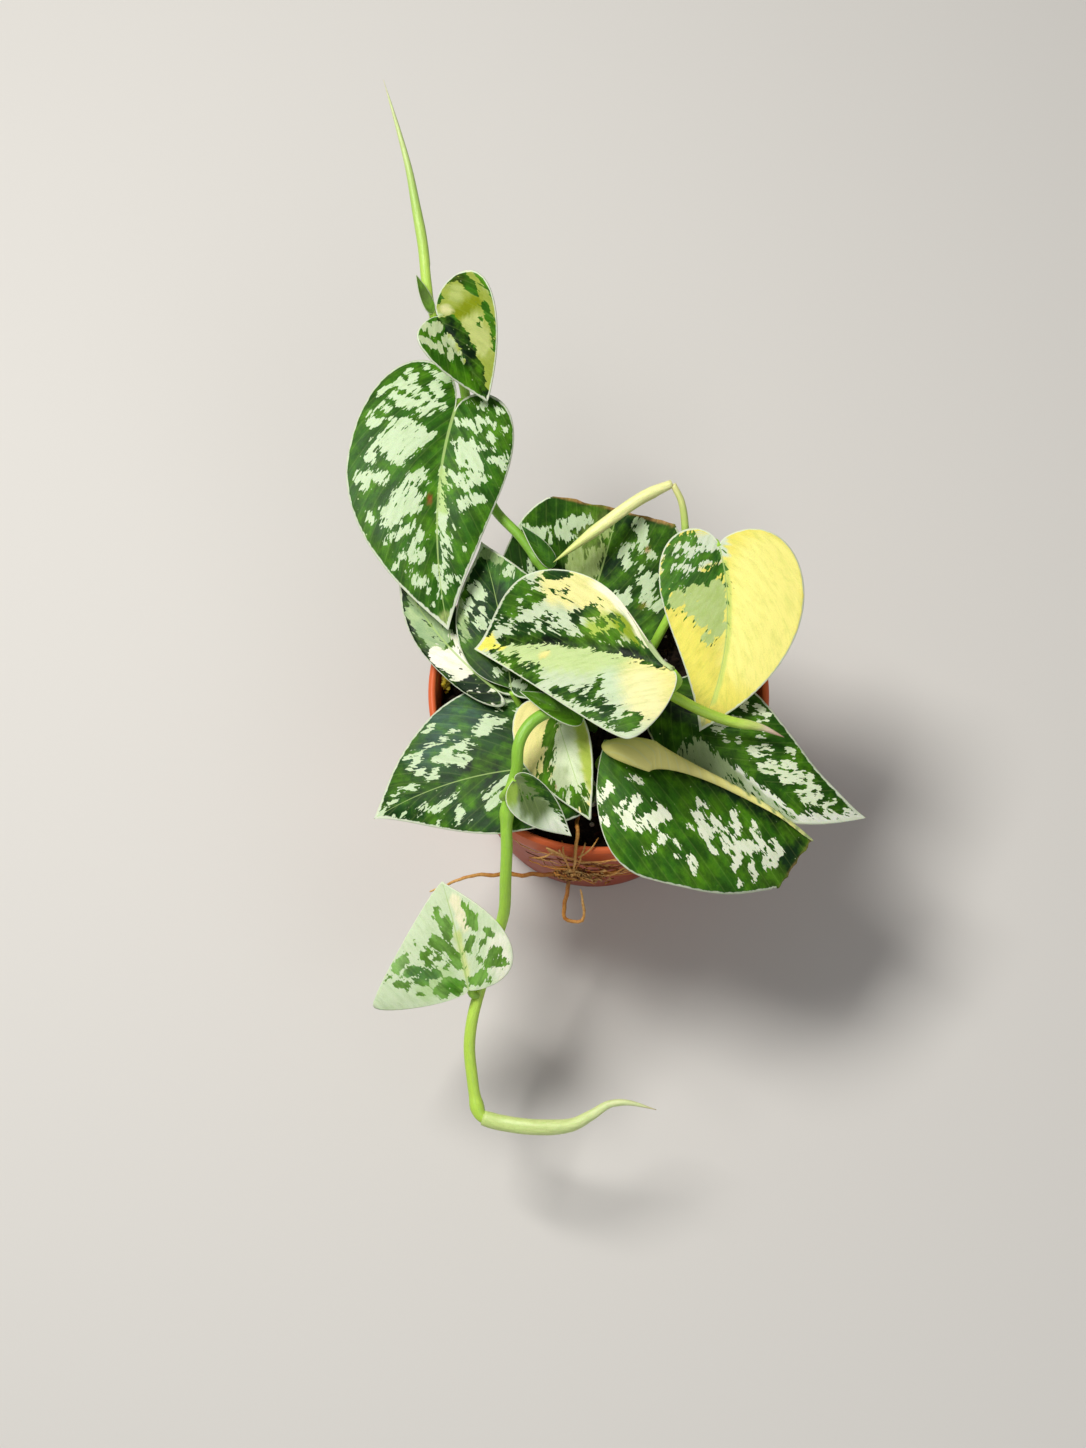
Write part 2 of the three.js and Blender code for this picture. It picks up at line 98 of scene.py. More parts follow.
def feed(tree, socket, value):
    """Links a node or one of its outputs to a socket, or sets a plain value on it."""
    if isinstance(value, bpy.types.Node):
        value = value.outputs[0]
    if isinstance(value, bpy.types.NodeSocket):
        tree.links.new(value, socket)
    else:
        socket.default_value = value


def node(tree, kind, *inputs, **named):
    """A shader node. Lower-case names are its settings, the others its sockets."""
    made = tree.nodes.new("ShaderNode" + kind)
    for key, value in named.items():
        if key[0].islower():
            setattr(made, key, value)
    for key, value in named.items():
        if not key[0].islower():
            feed(tree, made.inputs[key.replace("_", " ")], value)
    for socket, value in zip(made.inputs, inputs):
        feed(tree, socket, value)
    return made


def mixed(tree, share, first, second, mode="MIX"):
    """The colour between two colours, or one laid on the other."""
    made = node(tree, "Mix", data_type="RGBA", blend_type=mode)
    feed(tree, made.inputs[0], share)
    feed(tree, made.inputs[6], first)
    feed(tree, made.inputs[7], second)
    return made.outputs[2]


def ramp(tree, value, start, end, low=0.0, high=1.0):
    """A value carried smoothly from one range to another."""
    return node(tree, "MapRange", value, start, end, low, high, interpolation_type="SMOOTHSTEP")


def grain(tree, place, scale, detail=4.0, roughness=0.55):
    """Fractal noise, from 0 to 1."""
    return node(tree, "TexNoise", Vector=place, Scale=scale, Detail=detail, Roughness=roughness)


def calc(tree, operation, *values):
    """One step of arithmetic."""
    return node(tree, "Math", *values, operation=operation)


def stretched(tree, place, x, y, z):
    """A place scaled along each axis, so that the noise on it is drawn out where the scale is small."""
    return node(tree, "VectorMath", place, (x, y, z), operation="MULTIPLY")


def add_piece(name, net, finishes, stands_for=(), smooth=True):
    """Turns a mesh being built, in millimetres, into a piece of the plant that rides on the one body."""
    bmesh.ops.scale(net, vec=(MM, MM, MM), verts=net.verts[:])
    mesh = bpy.data.meshes.new(name)
    net.to_mesh(mesh)
    net.free()
    if smooth:
        mesh.shade_smooth()
    for finish in finishes:
        mesh.materials.append(finish)
    piece = bpy.data.objects.new(name, mesh)
    scene.collection.objects.link(piece)
    if stands_for:
        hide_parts(*stands_for)
    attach(piece, "root")
    return piece


def turned(profile, steps):
    """A closed solid of revolution round the pot's axis from a profile of (radius, height)."""
    net = bmesh.new()
    rail = [net.verts.new((radius, 0, height)) for radius, height in profile]
    edges = [net.edges.new(pair) for pair in zip(rail, rail[1:])]
    bmesh.ops.spin(net, geom=rail + edges, cent=(0, 0, 0), axis=(0, 0, 1), dvec=(0, 0, 0),
                   angle=2 * math.pi, steps=steps, use_merge=True)
    bmesh.ops.remove_doubles(net, verts=net.verts[:], dist=0.001)
    bmesh.ops.recalc_face_normals(net, faces=net.faces[:])
    return net


def wall_inside(height):
    """The radius of the inner face of the wall."""
    share = (height - FLOOR_TOP) / (BAND_FOOT - FLOOR_TOP)
    return BASE_RADIUS - WALL + share * (MOUTH_RADIUS - BASE_RADIUS)


def pot_plastic():
    """Satin terracotta plastic: painted light that brightens it upwards towards the rim, painted shade that darkens the
    wall below the rim band, dried splashes of water low on it, and specks.
    """
    finish, tree, shader = new_finish("pot_plastic", 0.42)
    place = node(tree, "TexCoord").outputs["Object"]
    height = node(tree, "SeparateXYZ", place).outputs[2]
    clouds = grain(tree, place, 45, 5)
    colour = mixed(tree, clouds, srgb(192, 74, 32), srgb(216, 98, 50))
    # Painted light: the colour is lightened upwards from 30 mm, most at the rim.
    painted_rim_light = ramp(tree, height, 0.03, 0.1)
    colour = mixed(tree, calc(tree, "MULTIPLY", painted_rim_light, 0.4), colour, srgb(234, 124, 76))
    # Painted shade: the wall below the rim band is darkened.
    wall = ramp(tree, height, 0.0945, 0.0935)
    colour = mixed(tree, calc(tree, "MULTIPLY", wall, 0.6), colour, srgb(134, 42, 20))
    splashes = ramp(tree, grain(tree, stretched(tree, place, 1, 1, 0.45), 260, 6, 0.65), 0.6, 0.72)
    low = ramp(tree, height, 0.075, 0.0, 0.1, 0.55)
    colour = mixed(tree, calc(tree, "MULTIPLY", splashes, low), colour, srgb(120, 78, 56))
    specks = ramp(tree, node(tree, "TexVoronoi", Vector=place, Scale=420), 0.16, 0.05)
    chosen = ramp(tree, grain(tree, place, 110, 2), 0.55, 0.62)
    colour = mixed(tree, calc(tree, "MULTIPLY", specks, chosen), colour, srgb(58, 40, 30))
    feed(tree, shader.inputs["Base Color"], colour)
    feed(tree, shader.inputs["Roughness"], ramp(tree, clouds, 0.3, 0.7, 0.36, 0.55))
    rings = node(tree, "TexNoise", Vector=stretched(tree, place, 0.02, 0.02, 1), Scale=900, Detail=2.0)
    fine = grain(tree, place, 1800, 2)
    relief = calc(tree, "MULTIPLY_ADD", rings, 0.6, fine)
    feed(tree, shader.inputs["Normal"], node(tree, "Bump", Height=relief, Distance=0.00006, Strength=0.8))
    shader.inputs["Specular IOR Level"].default_value = 0.22
    return finish


def drilled(pot):
    """Cuts the ring of drain holes through the raised floor."""
    drills = bmesh.new()
    for i in range(DRAIN_HOLES):
        angle = 2 * math.pi * i / DRAIN_HOLES
        drill = bmesh.ops.create_cone(drills, cap_ends=True, segments=32, radius1=DRAIN_RADIUS * MM,
                                      radius2=DRAIN_RADIUS * MM, depth=4 * FOOT_LIFT * MM)
        centre = Vector((math.cos(angle), math.sin(angle), 0)) * DRAIN_CIRCLE
        bmesh.ops.translate(drills, verts=drill["verts"], vec=(centre + Vector((0, 0, FOOT_LIFT))) * MM)
    cutter_mesh = bpy.data.meshes.new("drills")
    drills.to_mesh(cutter_mesh)
    drills.free()
    cutter = bpy.data.objects.new("drills", cutter_mesh)
    scene.collection.objects.link(cutter)
    cut = pot.modifiers.new("drain_holes", "BOOLEAN")
    cut.operation = "DIFFERENCE"
    cut.object = cutter
    bpy.context.view_layer.update()
    evaluated = pot.evaluated_get(bpy.context.evaluated_depsgraph_get())
    cut_mesh = bpy.data.meshes.new_from_object(evaluated)
    pot.modifiers.clear()
    pot.data = cut_mesh
    bpy.data.objects.remove(cutter)


pot_net = turned([
    (0, 0), (HUB_RADIUS, 0), (HUB_RADIUS + 1, FOOT_LIFT), (FOOT_INNER - 1, FOOT_LIFT), (FOOT_INNER, 0),
    (BASE_RADIUS - FOOT_EDGE, 0), (BASE_RADIUS, WALL_FOOT), (BASE_RADIUS + 5, 33), (MOUTH_RADIUS - 5, 62),
    (MOUTH_RADIUS, BAND_FOOT - BAND_EDGE), (RIM_RADIUS - 0.6, BAND_FOOT), (RIM_RADIUS, BAND_FOOT + BAND_EDGE),
    (RIM_RADIUS, POT_HEIGHT - RIM_EDGE), (RIM_RADIUS - RIM_EDGE, POT_HEIGHT), (MOUTH_RADIUS + 0.7, POT_HEIGHT),
    (MOUTH_RADIUS, POT_HEIGHT - 0.7), (wall_inside(BAND_FOOT), BAND_FOOT), (wall_inside(FLOOR_TOP), FLOOR_TOP),
    (0, FLOOR_TOP),
], POT_STEPS)
for vert in pot_net.verts:  # The wall is one straight taper, so its two rings between foot and band go onto it.
    if 5 < vert.co.z < BAND_FOOT - 2:
        outside = math.hypot(vert.co.x, vert.co.y)
        wanted = BASE_RADIUS + (MOUTH_RADIUS - BASE_RADIUS) * (vert.co.z - 1) / (BAND_FOOT - 1.8)
        vert.co.x *= wanted / outside
        vert.co.y *= wanted / outside
pot_edges = [edge for edge in pot_net.edges
             if edge.calc_face_angle(0) > math.radians(SHARP_ANGLE)
             and min(v.co.z for v in edge.verts) > BAND_FOOT - 1.2]
bmesh.ops.bevel(pot_net, geom=pot_edges, offset=EDGE_ROUND, affect="EDGES", segments=3, profile=0.5, material=-1,
                clamp_overlap=True)
pot_piece = add_piece("pot_shell", pot_net, [pot_plastic()], ["pot"])
drilled(pot_piece)

# Soil: a nearly black peat mix heaped a little in the middle, with crumbs, white perlite,
# flakes of bark and a small cluster of yellow feed granules at the left.
SOIL_EDGE = 91.5
SOIL_CROWN = 94.0
SOIL_RINGS = 34
SOIL_STEPS = 120
SOIL_GAP = 0.3
SOIL_RIM_GAP = 0.35
SOIL_LUMPS = 0.9
SOIL_SEED = 7
BARE_EDGE = 3.5
GRAIN_GAP = 0.6
GRANULE_HEAP = (-55.2, 7.4)


def soil_height(x, y):
    """The height of the loose surface over a point of the mouth."""
    away = math.hypot(x, y) / wall_inside(SOIL_EDGE)
    heap = SOIL_EDGE + (SOIL_CROWN - SOIL_EDGE) * max(0.0, 1 - away * away)
    lumps = noise.fractal(Vector((x, y, 3)) * 0.16, 0.9, 2.1, 5)
    return heap + SOIL_LUMPS * lumps


def soil_peat(name, dark, light):
    """A dull, crumbly skin that varies between two colours."""
    finish, tree, shader = new_finish(name, 0.95)
    place = node(tree, "TexCoord").outputs["Object"]
    clods = grain(tree, place, 420, 7, 0.7)
    colour = mixed(tree, ramp(tree, clods, 0.35, 0.75), dark, light)
    feed(tree, shader.inputs["Base Color"], colour)
    feed(tree, shader.inputs["Normal"], node(tree, "Bump", Height=clods, Distance=0.0006))
    shader.inputs["Specular IOR Level"].default_value = 0.25
    return finish


SOIL_FINISH = soil_peat("soil_peat", srgb(16, 12, 10), srgb(62, 46, 36))

soil_bottom = FLOOR_TOP + SOIL_GAP
soil_profile = [(0, soil_bottom), (wall_inside(soil_bottom) - SOIL_GAP, soil_bottom)]
soil_rim = wall_inside(SOIL_EDGE) - SOIL_RIM_GAP
soil_profile += [(soil_rim * (1 - i / SOIL_RINGS), SOIL_EDGE) for i in range(SOIL_RINGS + 1)]
soil_net = turned(soil_profile, SOIL_STEPS)
for vert in soil_net.verts:
    if vert.co.z > SOIL_EDGE - 1:
        vert.co.z = soil_height(vert.co.x, vert.co.y)
add_piece("soil_heap", soil_net, [SOIL_FINISH], ["soil"])


def scatter(name, count, sizes, finish, seed, lumpiness=0.25, flat=0.75, where=None, pile=0.0):
    """Many small grains lying in the soil's surface, as one piece. where is a heap's x, y and spread in x and y."""
    dice = random.Random(seed)
    net = bmesh.new()
    for _ in range(count):
        if where:
            x = dice.gauss(where[0], where[2])
            y = dice.gauss(where[1], where[3])
        else:
            away = (wall_inside(SOIL_EDGE) - BARE_EDGE) * math.sqrt(dice.random())
            angle = dice.uniform(0, 2 * math.pi)
            x, y = away * math.cos(angle), away * math.sin(angle)
        size = dice.uniform(*sizes) / 2
        lift = dice.uniform(0, pile)
        room = wall_inside(SOIL_EDGE + lift) - GRAIN_GAP - size
        if math.hypot(x, y) > room:
            x, y = x * room / math.hypot(x, y), y * room / math.hypot(x, y)
        ball = bmesh.ops.create_icosphere(net, subdivisions=1, radius=size)["verts"]
        spin = dice.uniform(0, math.pi)
        long = dice.uniform(0.8, 1.5)
        for vert in ball:
            bump = 1 + lumpiness * dice.uniform(-1, 1)
            px, py, pz = vert.co * bump
            px *= long
            vert.co = (x + px * math.cos(spin) - py * math.sin(spin),
                       y + px * math.sin(spin) + py * math.cos(spin),
                       soil_height(x, y) + size * (flat - 0.35) + lift + pz * flat)
    return add_piece(name, net, [finish], smooth=False)


scatter("soil_crumbs", 900, (0.9, 3.4), SOIL_FINISH, SOIL_SEED, 0.3)
scatter("perlite_grains", 70, (1.0, 2.6), soil_peat("perlite", srgb(186, 180, 168), srgb(236, 232, 222)),
        SOIL_SEED + 1, 0.2)
scatter("bark_flakes", 60, (1.6, 4.2), soil_peat("bark", srgb(70, 38, 20), srgb(134, 84, 50)),
        SOIL_SEED + 2, 0.3, 0.4)
scatter("feed_granules", 120, (1.2, 2.0), soil_peat("feed", srgb(255, 214, 40), srgb(255, 240, 110)),
        SOIL_SEED + 3, 0.12, 0.9, where=(*GRANULE_HEAP, 1.2, 1.7), pile=7)

# Stems and stalks: soft green shoots, planted in the soil and led along the routes that they grew.
# They thicken a little at each node, where a stalk, a sheath or the next shoot leaves them.
# A route's first point is 8 to 10 mm down in the soil, or inside the stem that the piece grew from.
PLANTED = 84
STEM_SIDES = 16
STEM_STEP = 1.2


def smooth_route(points, step):
    """Points about every step along a smooth curve through the given ones."""
    knots = [Vector(p) for p in points]
    tangents = []
    for i in range(len(knots)):
        before, after = knots[max(0, i - 1)], knots[min(len(knots) - 1, i + 1)]
        tangents.append((after - before).normalized())
    route = [knots[0]]
    for i in range(len(knots) - 1):
        span = (knots[i + 1] - knots[i]).length
        count = max(2, round(span / step) + 1)
        first = knots[i] + tangents[i] * span / 3
        second = knots[i + 1] - tangents[i + 1] * span / 3
        route += geometry.interpolate_bezier(knots[i], first, second, knots[i + 1], count)[1:]
    return route


def stop_colour(stops, share):
    """The colour at a share of the way along a list of (share, colour)."""
    for (a, first), (b, second) in zip(stops, stops[1:]):
        if share <= b:
            t = (share - a) / (b - a)
            return [f + (s - f) * t for f, s in zip(first, second)]
    return stops[-1][1]


def grow_tube(name, points, girth, stops, finish, stands_for=(), sides=STEM_SIDES, step=STEM_STEP, wobble=0.0):
    """A round stem along a route. girth(share, turn) is its radius, and both of its ends are closed."""
    route = smooth_route(points, step)
    if wobble:
        route = [p + wobble * Vector(noise.noise_vector(p * 0.21)) for p in route]
    rows = len(route) + 1
    net = bmesh.new()
    tint = net.verts.layers.float_color.new("tint")
    flow = net.verts.layers.float_vector.new("flow")
    bmesh.ops.create_grid(net, x_segments=sides, y_segments=rows, size=1)
    frames = []
    side = None
    for i, centre in enumerate(route):
        ahead = (route[min(i + 1, len(route) - 1)] - route[max(i - 1, 0)]).normalized()
        if side is None:
            side = ahead.orthogonal().normalized()
        side = (side - ahead * side.dot(ahead)).normalized()
        frames.append((centre, side, ahead.cross(side)))
    length = sum((b - a).length for a, b in zip(route, route[1:]))
    for vert in net.verts:
        row = round((vert.co.y + 1) / 2 * rows)
        turn = 2 * math.pi * (round((vert.co.x + 1) / 2 * sides) % sides) / sides
        share = min(1.0, max(0.0, (row - 1) / (rows - 2)))
        centre, across, upward = frames[min(len(frames) - 1, max(0, row - 1))]
        radius = 0 if row in (0, rows) else girth(share, turn)
        vert.co = centre + radius * (math.cos(turn) * across + math.sin(turn) * upward)
        vert[tint] = stop_colour(stops, share)
        vert[flow] = (math.cos(turn), math.sin(turn), share * length)
    bmesh.ops.remove_doubles(net, verts=net.verts[:], dist=0.0001)
    bmesh.ops.recalc_face_normals(net, faces=net.faces[:])
    return add_piece(name, net, [finish], stands_for)


def read(tree, attribute, output):
    """A value that the mesh carries at each point."""
    return node(tree, "Attribute", attribute_name=attribute).outputs[output]


def stem_skin():
    """Soft green skin in the piece's own tints, streaked lengthwise and stippled."""
    finish, tree, shader = new_finish("stem_skin", 0.42)
    tint = read(tree, "tint", "Color")
    flow = read(tree, "flow", "Vector")
    place = node(tree, "TexCoord").outputs["Object"]
    streaks = grain(tree, stretched(tree, flow, 1, 1, 0.09), 3.2, 5, 0.6)
    colour = mixed(tree, ramp(tree, streaks, 0.35, 0.7, 0.0, 0.24), tint, srgb(150, 190, 80), "MULTIPLY")
    lit = mixed(tree, ramp(tree, streaks, 0.55, 0.8, 0.0, 0.4), colour, srgb(222, 235, 160))
    dots = node(tree, "TexVoronoi", Vector=stretched(tree, flow, 1, 1, 0.5), Scale=3.4)
    stipple = ramp(tree, dots, 0.22, 0.1, 0.0, 0.28)
    colour = mixed(tree, stipple, lit, srgb(60, 105, 28))
    feed(tree, shader.inputs["Base Color"], colour)
    relief = calc(tree, "ADD", streaks, calc(tree, "MULTIPLY", grain(tree, place, 900, 3), 0.35))
    feed(tree, shader.inputs["Normal"], node(tree, "Bump", Height=relief, Distance=0.00018))
    shader.inputs["Subsurface Weight"].default_value = 0.12
    shader.inputs["Subsurface Radius"].default_value = (0.4, 1.0, 0.2)
    shader.inputs["Subsurface Scale"].default_value = 0.001
    return finish


STEM_SKIN = stem_skin()
SHADED = srgb(88, 142, 40)
FRESH = srgb(142, 196, 62)
BRIGHT = srgb(170, 218, 74)
LIME = srgb(192, 226, 86)


def jointed(radius, nodes, swell=0.28, spread=0.012):
    """The girth of a stem of one radius with a soft ring at each node."""
    def girth(share, turn):
        ring = sum(math.exp(-((share - n) / spread) ** 2) for n in nodes)
        return radius * (1 + swell * ring)
    return girth


grow_tube("back_vine", [
    (-2, 17, PLANTED), (-2, 15.5, 98), (-8.5, 27.5, 109), (-19, 41, 115), (-27.5, 52.5, 118), (-37.5, 64, 120),
    (-43, 83, 122), (-47, 102.5, 126), (-49, 109.5, 131), (-54, 114, 137), (-58.2, 124.6, 146.5),
], jointed(1.75, (0.36, 0.78, 0.985)), [(0, SHADED), (0.5, FRESH), (0.75, FRESH), (1, LIME)],
    STEM_SKIN, ["back_stem"])
grow_tube("front_vine", [
    (-2, -10, PLANTED), (-2.3, -11, 105), (-2.6, -13, 117), (-5, -16, 125.5), (-10, -18.6, 129.4),
    (-16, -17.3, 129.8), (-22, -20, 130), (-26, -24.5, 129.5), (-28, -29.5, 128), (-28.5, -36, 124),
    (-31, -43.5, 119), (-32, -51, 114.5), (-32, -59.5, 108), (-32.5, -68, 99), (-33, -75.5, 89),
    (-35, -81, 81), (-38.5, -90, 74), (-42, -100, 69), (-44.5, -109.5, 66), (-45.5, -118.5, 62),
    (-44.5, -128.5, 58), (-43.3, -136, 55.4), (-41.8, -140.6, 54.4), (-39.2, -142.6, 54),
], jointed(2.05, (0.235, 0.45, 0.7, 0.97)), [(0, SHADED), (0.3, FRESH), (0.55, BRIGHT), (0.8, LIME), (1, LIME)],
    STEM_SKIN, ["front_stem"])
grow_tube("right_vine", [
    (14, 12, PLANTED), (16, 12, 99), (21, 18, 110), (26.5, 27.5, 117), (30.3, 40.8, 121.5), (30.3, 52.5, 125),
    (29, 61, 129), (26, 67, 131),
], lambda share, turn: 1.65 - 0.55 * share**3, [(0, SHADED), (0.4, BRIGHT), (0.8, srgb(178, 206, 96)),
    (1, srgb(232, 226, 156))], STEM_SKIN, ["right_stem"])
grow_tube("middle_vine", [(10.5, 3.5, PLANTED), (11.5, -3.5, 106), (16.5, -7.5, 120), (21.5, -9, 127)],
          jointed(1.55, (0.9,)), [(0, SHADED), (1, FRESH)], STEM_SKIN, ["middle_stem"])

STALKS = {
    "back_left": [(-46, 99, 125.8), (-48.5, 101, 127.6), (-51, 99.5, 129), (-51, 96, 129.6)],
    "centre": [(18.6, -8.3, 123.5), (19.2, -12, 130), (23, -13.5, 140), (25.5, -13, 148), (23.5, -11, 151.6)],
    "yellow": [(31, 43, 122), (35.5, 47, 122.5), (40, 48, 125), (42, 45, 126.6)],
    "small": [(-31, -43.8, 119.3), (-33, -46.5, 126), (-31.5, -46, 132), (-29, -43, 134.7)],
    "pale": [(-42.5, -101.5, 68.8), (-44.4, -101.6, 72), (-45.6, -99.5, 74.6)],
    "cut": [(-10, 14, PLANTED), (-10.5, 16, 94), (-8.5, 21, 99), (-5.5, 26.5, 100.6)],
    "under": [(-22, -14, PLANTED), (-23.5, -12, 97), (-27, -8.5, 108), (-30.5, -4.5, 114.8)],
    "left_rim": [(-28, -5, PLANTED), (-30, -5, 96), (-34, -4, 106), (-36.5, -3, 112.8)],
    "front_left": [(-3, -25, PLANTED), (-3.5, -28, 99), (-6.5, -31, 106), (-11.5, -31, 109)],
    "cream": [(-8, -3, PLANTED), (-8, -4, 103), (-10, -8, 112), (-15, -13.6, 115.6)],
    "rolled_edge": [(6, -28, PLANTED), (3, -29, 100), (-0.5, -29.5, 110), (1.8, -27.5, 116.2)],
    "right": [(17, 9, PLANTED), (17.5, 8.5, 97), (20, 4, 104.5), (24, -3, 107.6)],
}
for name, points in STALKS.items():
    grow_tube(f"{name}_petiole", points, lambda share, turn: 1.4 - 0.45 * share**4, [(0, FRESH), (1, BRIGHT)],
              STEM_SKIN, [f"{name}_stalk"])

# Rolled growing ends: each is a young leaf still wound round itself, so it tapers to a dry point
# and shows the seam of its outer turn. Its thick end starts inside the last node of its stem.


def rolled(radius, seam_turns, start=0.75, taper=1.6):
    """The girth of a wound leaf: it fills out, tapers to its point and steps in at the seam."""
    def girth(share, turn):
        body = min(1.0, start + 2.2 * share) * min(1.0, taper * (1 - share)) ** 0.8
        past = (turn / (2 * math.pi) - seam_turns * share) % 1.0
        return max(0.12, radius * body * (0.88 + 0.12 * past))
    return girth


grow_tube("back_spike", [
    (-58.2, 124.6, 146.5), (-59.4, 128.6, 148.8), (-60.5, 134.5, 152), (-62, 148, 156), (-64.5, 161.5, 160),
    (-67, 174, 164), (-71, 188.5, 168), (-76, 204.5, 173),
], rolled(1.95, 0.6), [(0, LIME), (0.5, srgb(178, 210, 108)), (0.9, srgb(212, 222, 160)), (1, srgb(232, 226, 196))],
    STEM_SKIN, ["back_shoot"])
grow_tube("front_spike", [
    (-40.8, -141.9, 54), (-34.5, -143.6, 54), (-22.5, -145.5, 56), (-10, -145, 57), (-2.5, -141.5, 58),
    (3.5, -138, 59), (10, -137.5, 60), (20, -140, 60),
], rolled(3.0, 0.5, 0.92), [(0, srgb(206, 226, 138)), (0.5, srgb(220, 234, 160)), (0.9, srgb(224, 232, 176)),
                            (1, srgb(214, 198, 150))], STEM_SKIN, ["front_shoot"])
grow_tube("unrolling_leaf", [(25.6, 67.2, 131.1), (14.5, 62, 130), (0.5, 53, 126), (-16, 42, 120)],
          rolled(2.25, 0.5, 0.7, 2.8), [(0, srgb(252, 248, 178)), (0.5, srgb(250, 250, 170)), (1, srgb(232, 242, 140))],
          STEM_SKIN, ["rolled_leaf"])
grow_tube("middle_spike", [
    (21.8, -9.1, 127.2), (34.5, -15, 124), (45, -17.5, 120), (55.5, -18.5, 117), (63.5, -21, 114),
], rolled(1.95, 0.5, 0.9, 3.2), [(0, srgb(178, 222, 70)), (0.6, srgb(196, 230, 88)), (0.78, srgb(214, 228, 130)),
                            (0.85, srgb(236, 214, 190)), (1, srgb(206, 160, 140))],
    STEM_SKIN, ["middle_shoot"])

# Leaf blades: heart-shaped, waxy and about half a millimetre thick, thicker along the midrib, each grown
# from its own stalk. The halves differ in width, lobe and fold. Lengths are in millimetres, angles in degrees.
# The variegation is painted in strokes on the flat blade.
# Some washes paint shade and light rather than variegation: deep green and near-black washes as painted shadow in
# creases and under a rolled half, and a blue-grey wash as a painted sheen.
DEEP = srgb(12, 40, 12)
GREEN = srgb(50, 104, 16)
SILVER = srgb(207, 226, 186)
SAGE = srgb(162, 190, 122)
LEMON = srgb(250, 242, 108)
WHITE = srgb(238, 241, 224)
BROWN = srgb(158, 92, 44)
BLADE_GRID = 1.05
LOBE_SHARE = 1 / 3
BLUNT_START = 10 / 12
MIDRIB_CROWDING = 1.5
MARGIN_CROWDING = 1.2
CREASE_WIDTH = 2.0
LATERAL_ANGLE = 56
LATERAL_SPREAD = 14
VEIN_PITCH = 3.3
QUILT_HEIGHT = 0.04
WAVE_HEIGHT = 1.3
NO_MARGIN = 9
SURELY_IN = 8.0
SURELY_OUT = -4.0
BLADE_THICKNESS = 0.55
RIB_THICKNESS = 1.3
RIB_SPREAD = 1.1
NOISE_SHIFT = 60


def half_leaf(width, lobe, fold, curl, widest=0.27, full=0.3, nose=0.22, blunt=0, waist=1.0):
    """One half of a blade, as seen from the stalk: its outline, its fold at the midrib and its curl to the margin."""
    return dict(width=width, lobe=lobe, fold=fold, curl=curl, widest=widest, full=full, nose=nose, blunt=blunt,
                waist=waist)


def bezier(a, b, c, d, t):
    """A point on the flat curve from a to d that b and c pull towards themselves."""
    s = 1 - t
    return [a[i] * s**3 + 3 * b[i] * s * s * t + 3 * c[i] * s * t * t + d[i] * t**3 for i in (0, 1)]


def margin_point(half, length, v):
    """The outline of one half: distance out from the midrib and along it, for v from 0 to 1."""
    width, lobe, blunt = half["width"], half["lobe"], half["blunt"]
    shoulder = (width, half["widest"] * length)
    if v < LOBE_SHARE:
        return bezier((0, 0), (0.02 * width, -1.25 * lobe), (width, -1.45 * lobe), shoulder, v / LOBE_SHARE)
    side_end = BLUNT_START if blunt else 1
    if v > side_end:
        return blunt * (1 - (v - side_end) / (1 - side_end)), length
    side = (half["waist"] * width, (half["widest"] + half["full"]) * length)
    end = (blunt + half["nose"] * width, 0.86 * length)
    return bezier(shoulder, side, end, (blunt, length), (v - LOBE_SHARE) / (side_end - LOBE_SHARE))


def midrib(leaf):
    """The midrib's place and the blade's sideways and upward directions, at any distance from the base."""
    length, step = leaf["length"], 0.25

    def directions(distance):
        rise = math.radians(leaf["pitch"] - leaf["droop"] * distance / length)
        turn = math.radians(leaf["heading"] + leaf["sweep"] * distance / length)
        ahead = Vector((math.cos(rise) * math.sin(turn), math.cos(rise) * math.cos(turn), math.sin(rise)))
        side = Vector((math.cos(turn), -math.sin(turn), 0))
        return ahead, side, side.cross(ahead)

    reach = int((length + 5) / step)
    forward = [Vector(leaf["base"])]
    backward = [Vector(leaf["base"])]
    for i in range(reach):
        forward.append(forward[-1] + step * directions((i + 0.5) * step)[0])
        backward.append(backward[-1] - step * directions(-(i + 0.5) * step)[0])

    def at(distance):
        table = forward if distance >= 0 else backward
        place = min(abs(distance) / step, reach - 1)
        low = int(place)
        point = table[low].lerp(table[low + 1], place - low)
        _, side, up = directions(distance)
        return point, side, up

    return at


def fold_table(half, pieces=120):
    """How far out and up the cross-section of one half goes for each share of its width."""
    table = [(0.0, 0.0)]
    for i in range(pieces):
        share = (i + 0.5) / pieces
        crease = min(1.0, share * half["width"] / CREASE_WIDTH)
        angle = math.radians(half["fold"] * crease + half["curl"] * share)
        out, up = table[-1]
        table.append((out + math.cos(angle) / pieces, up + math.sin(angle) / pieces))
    return table


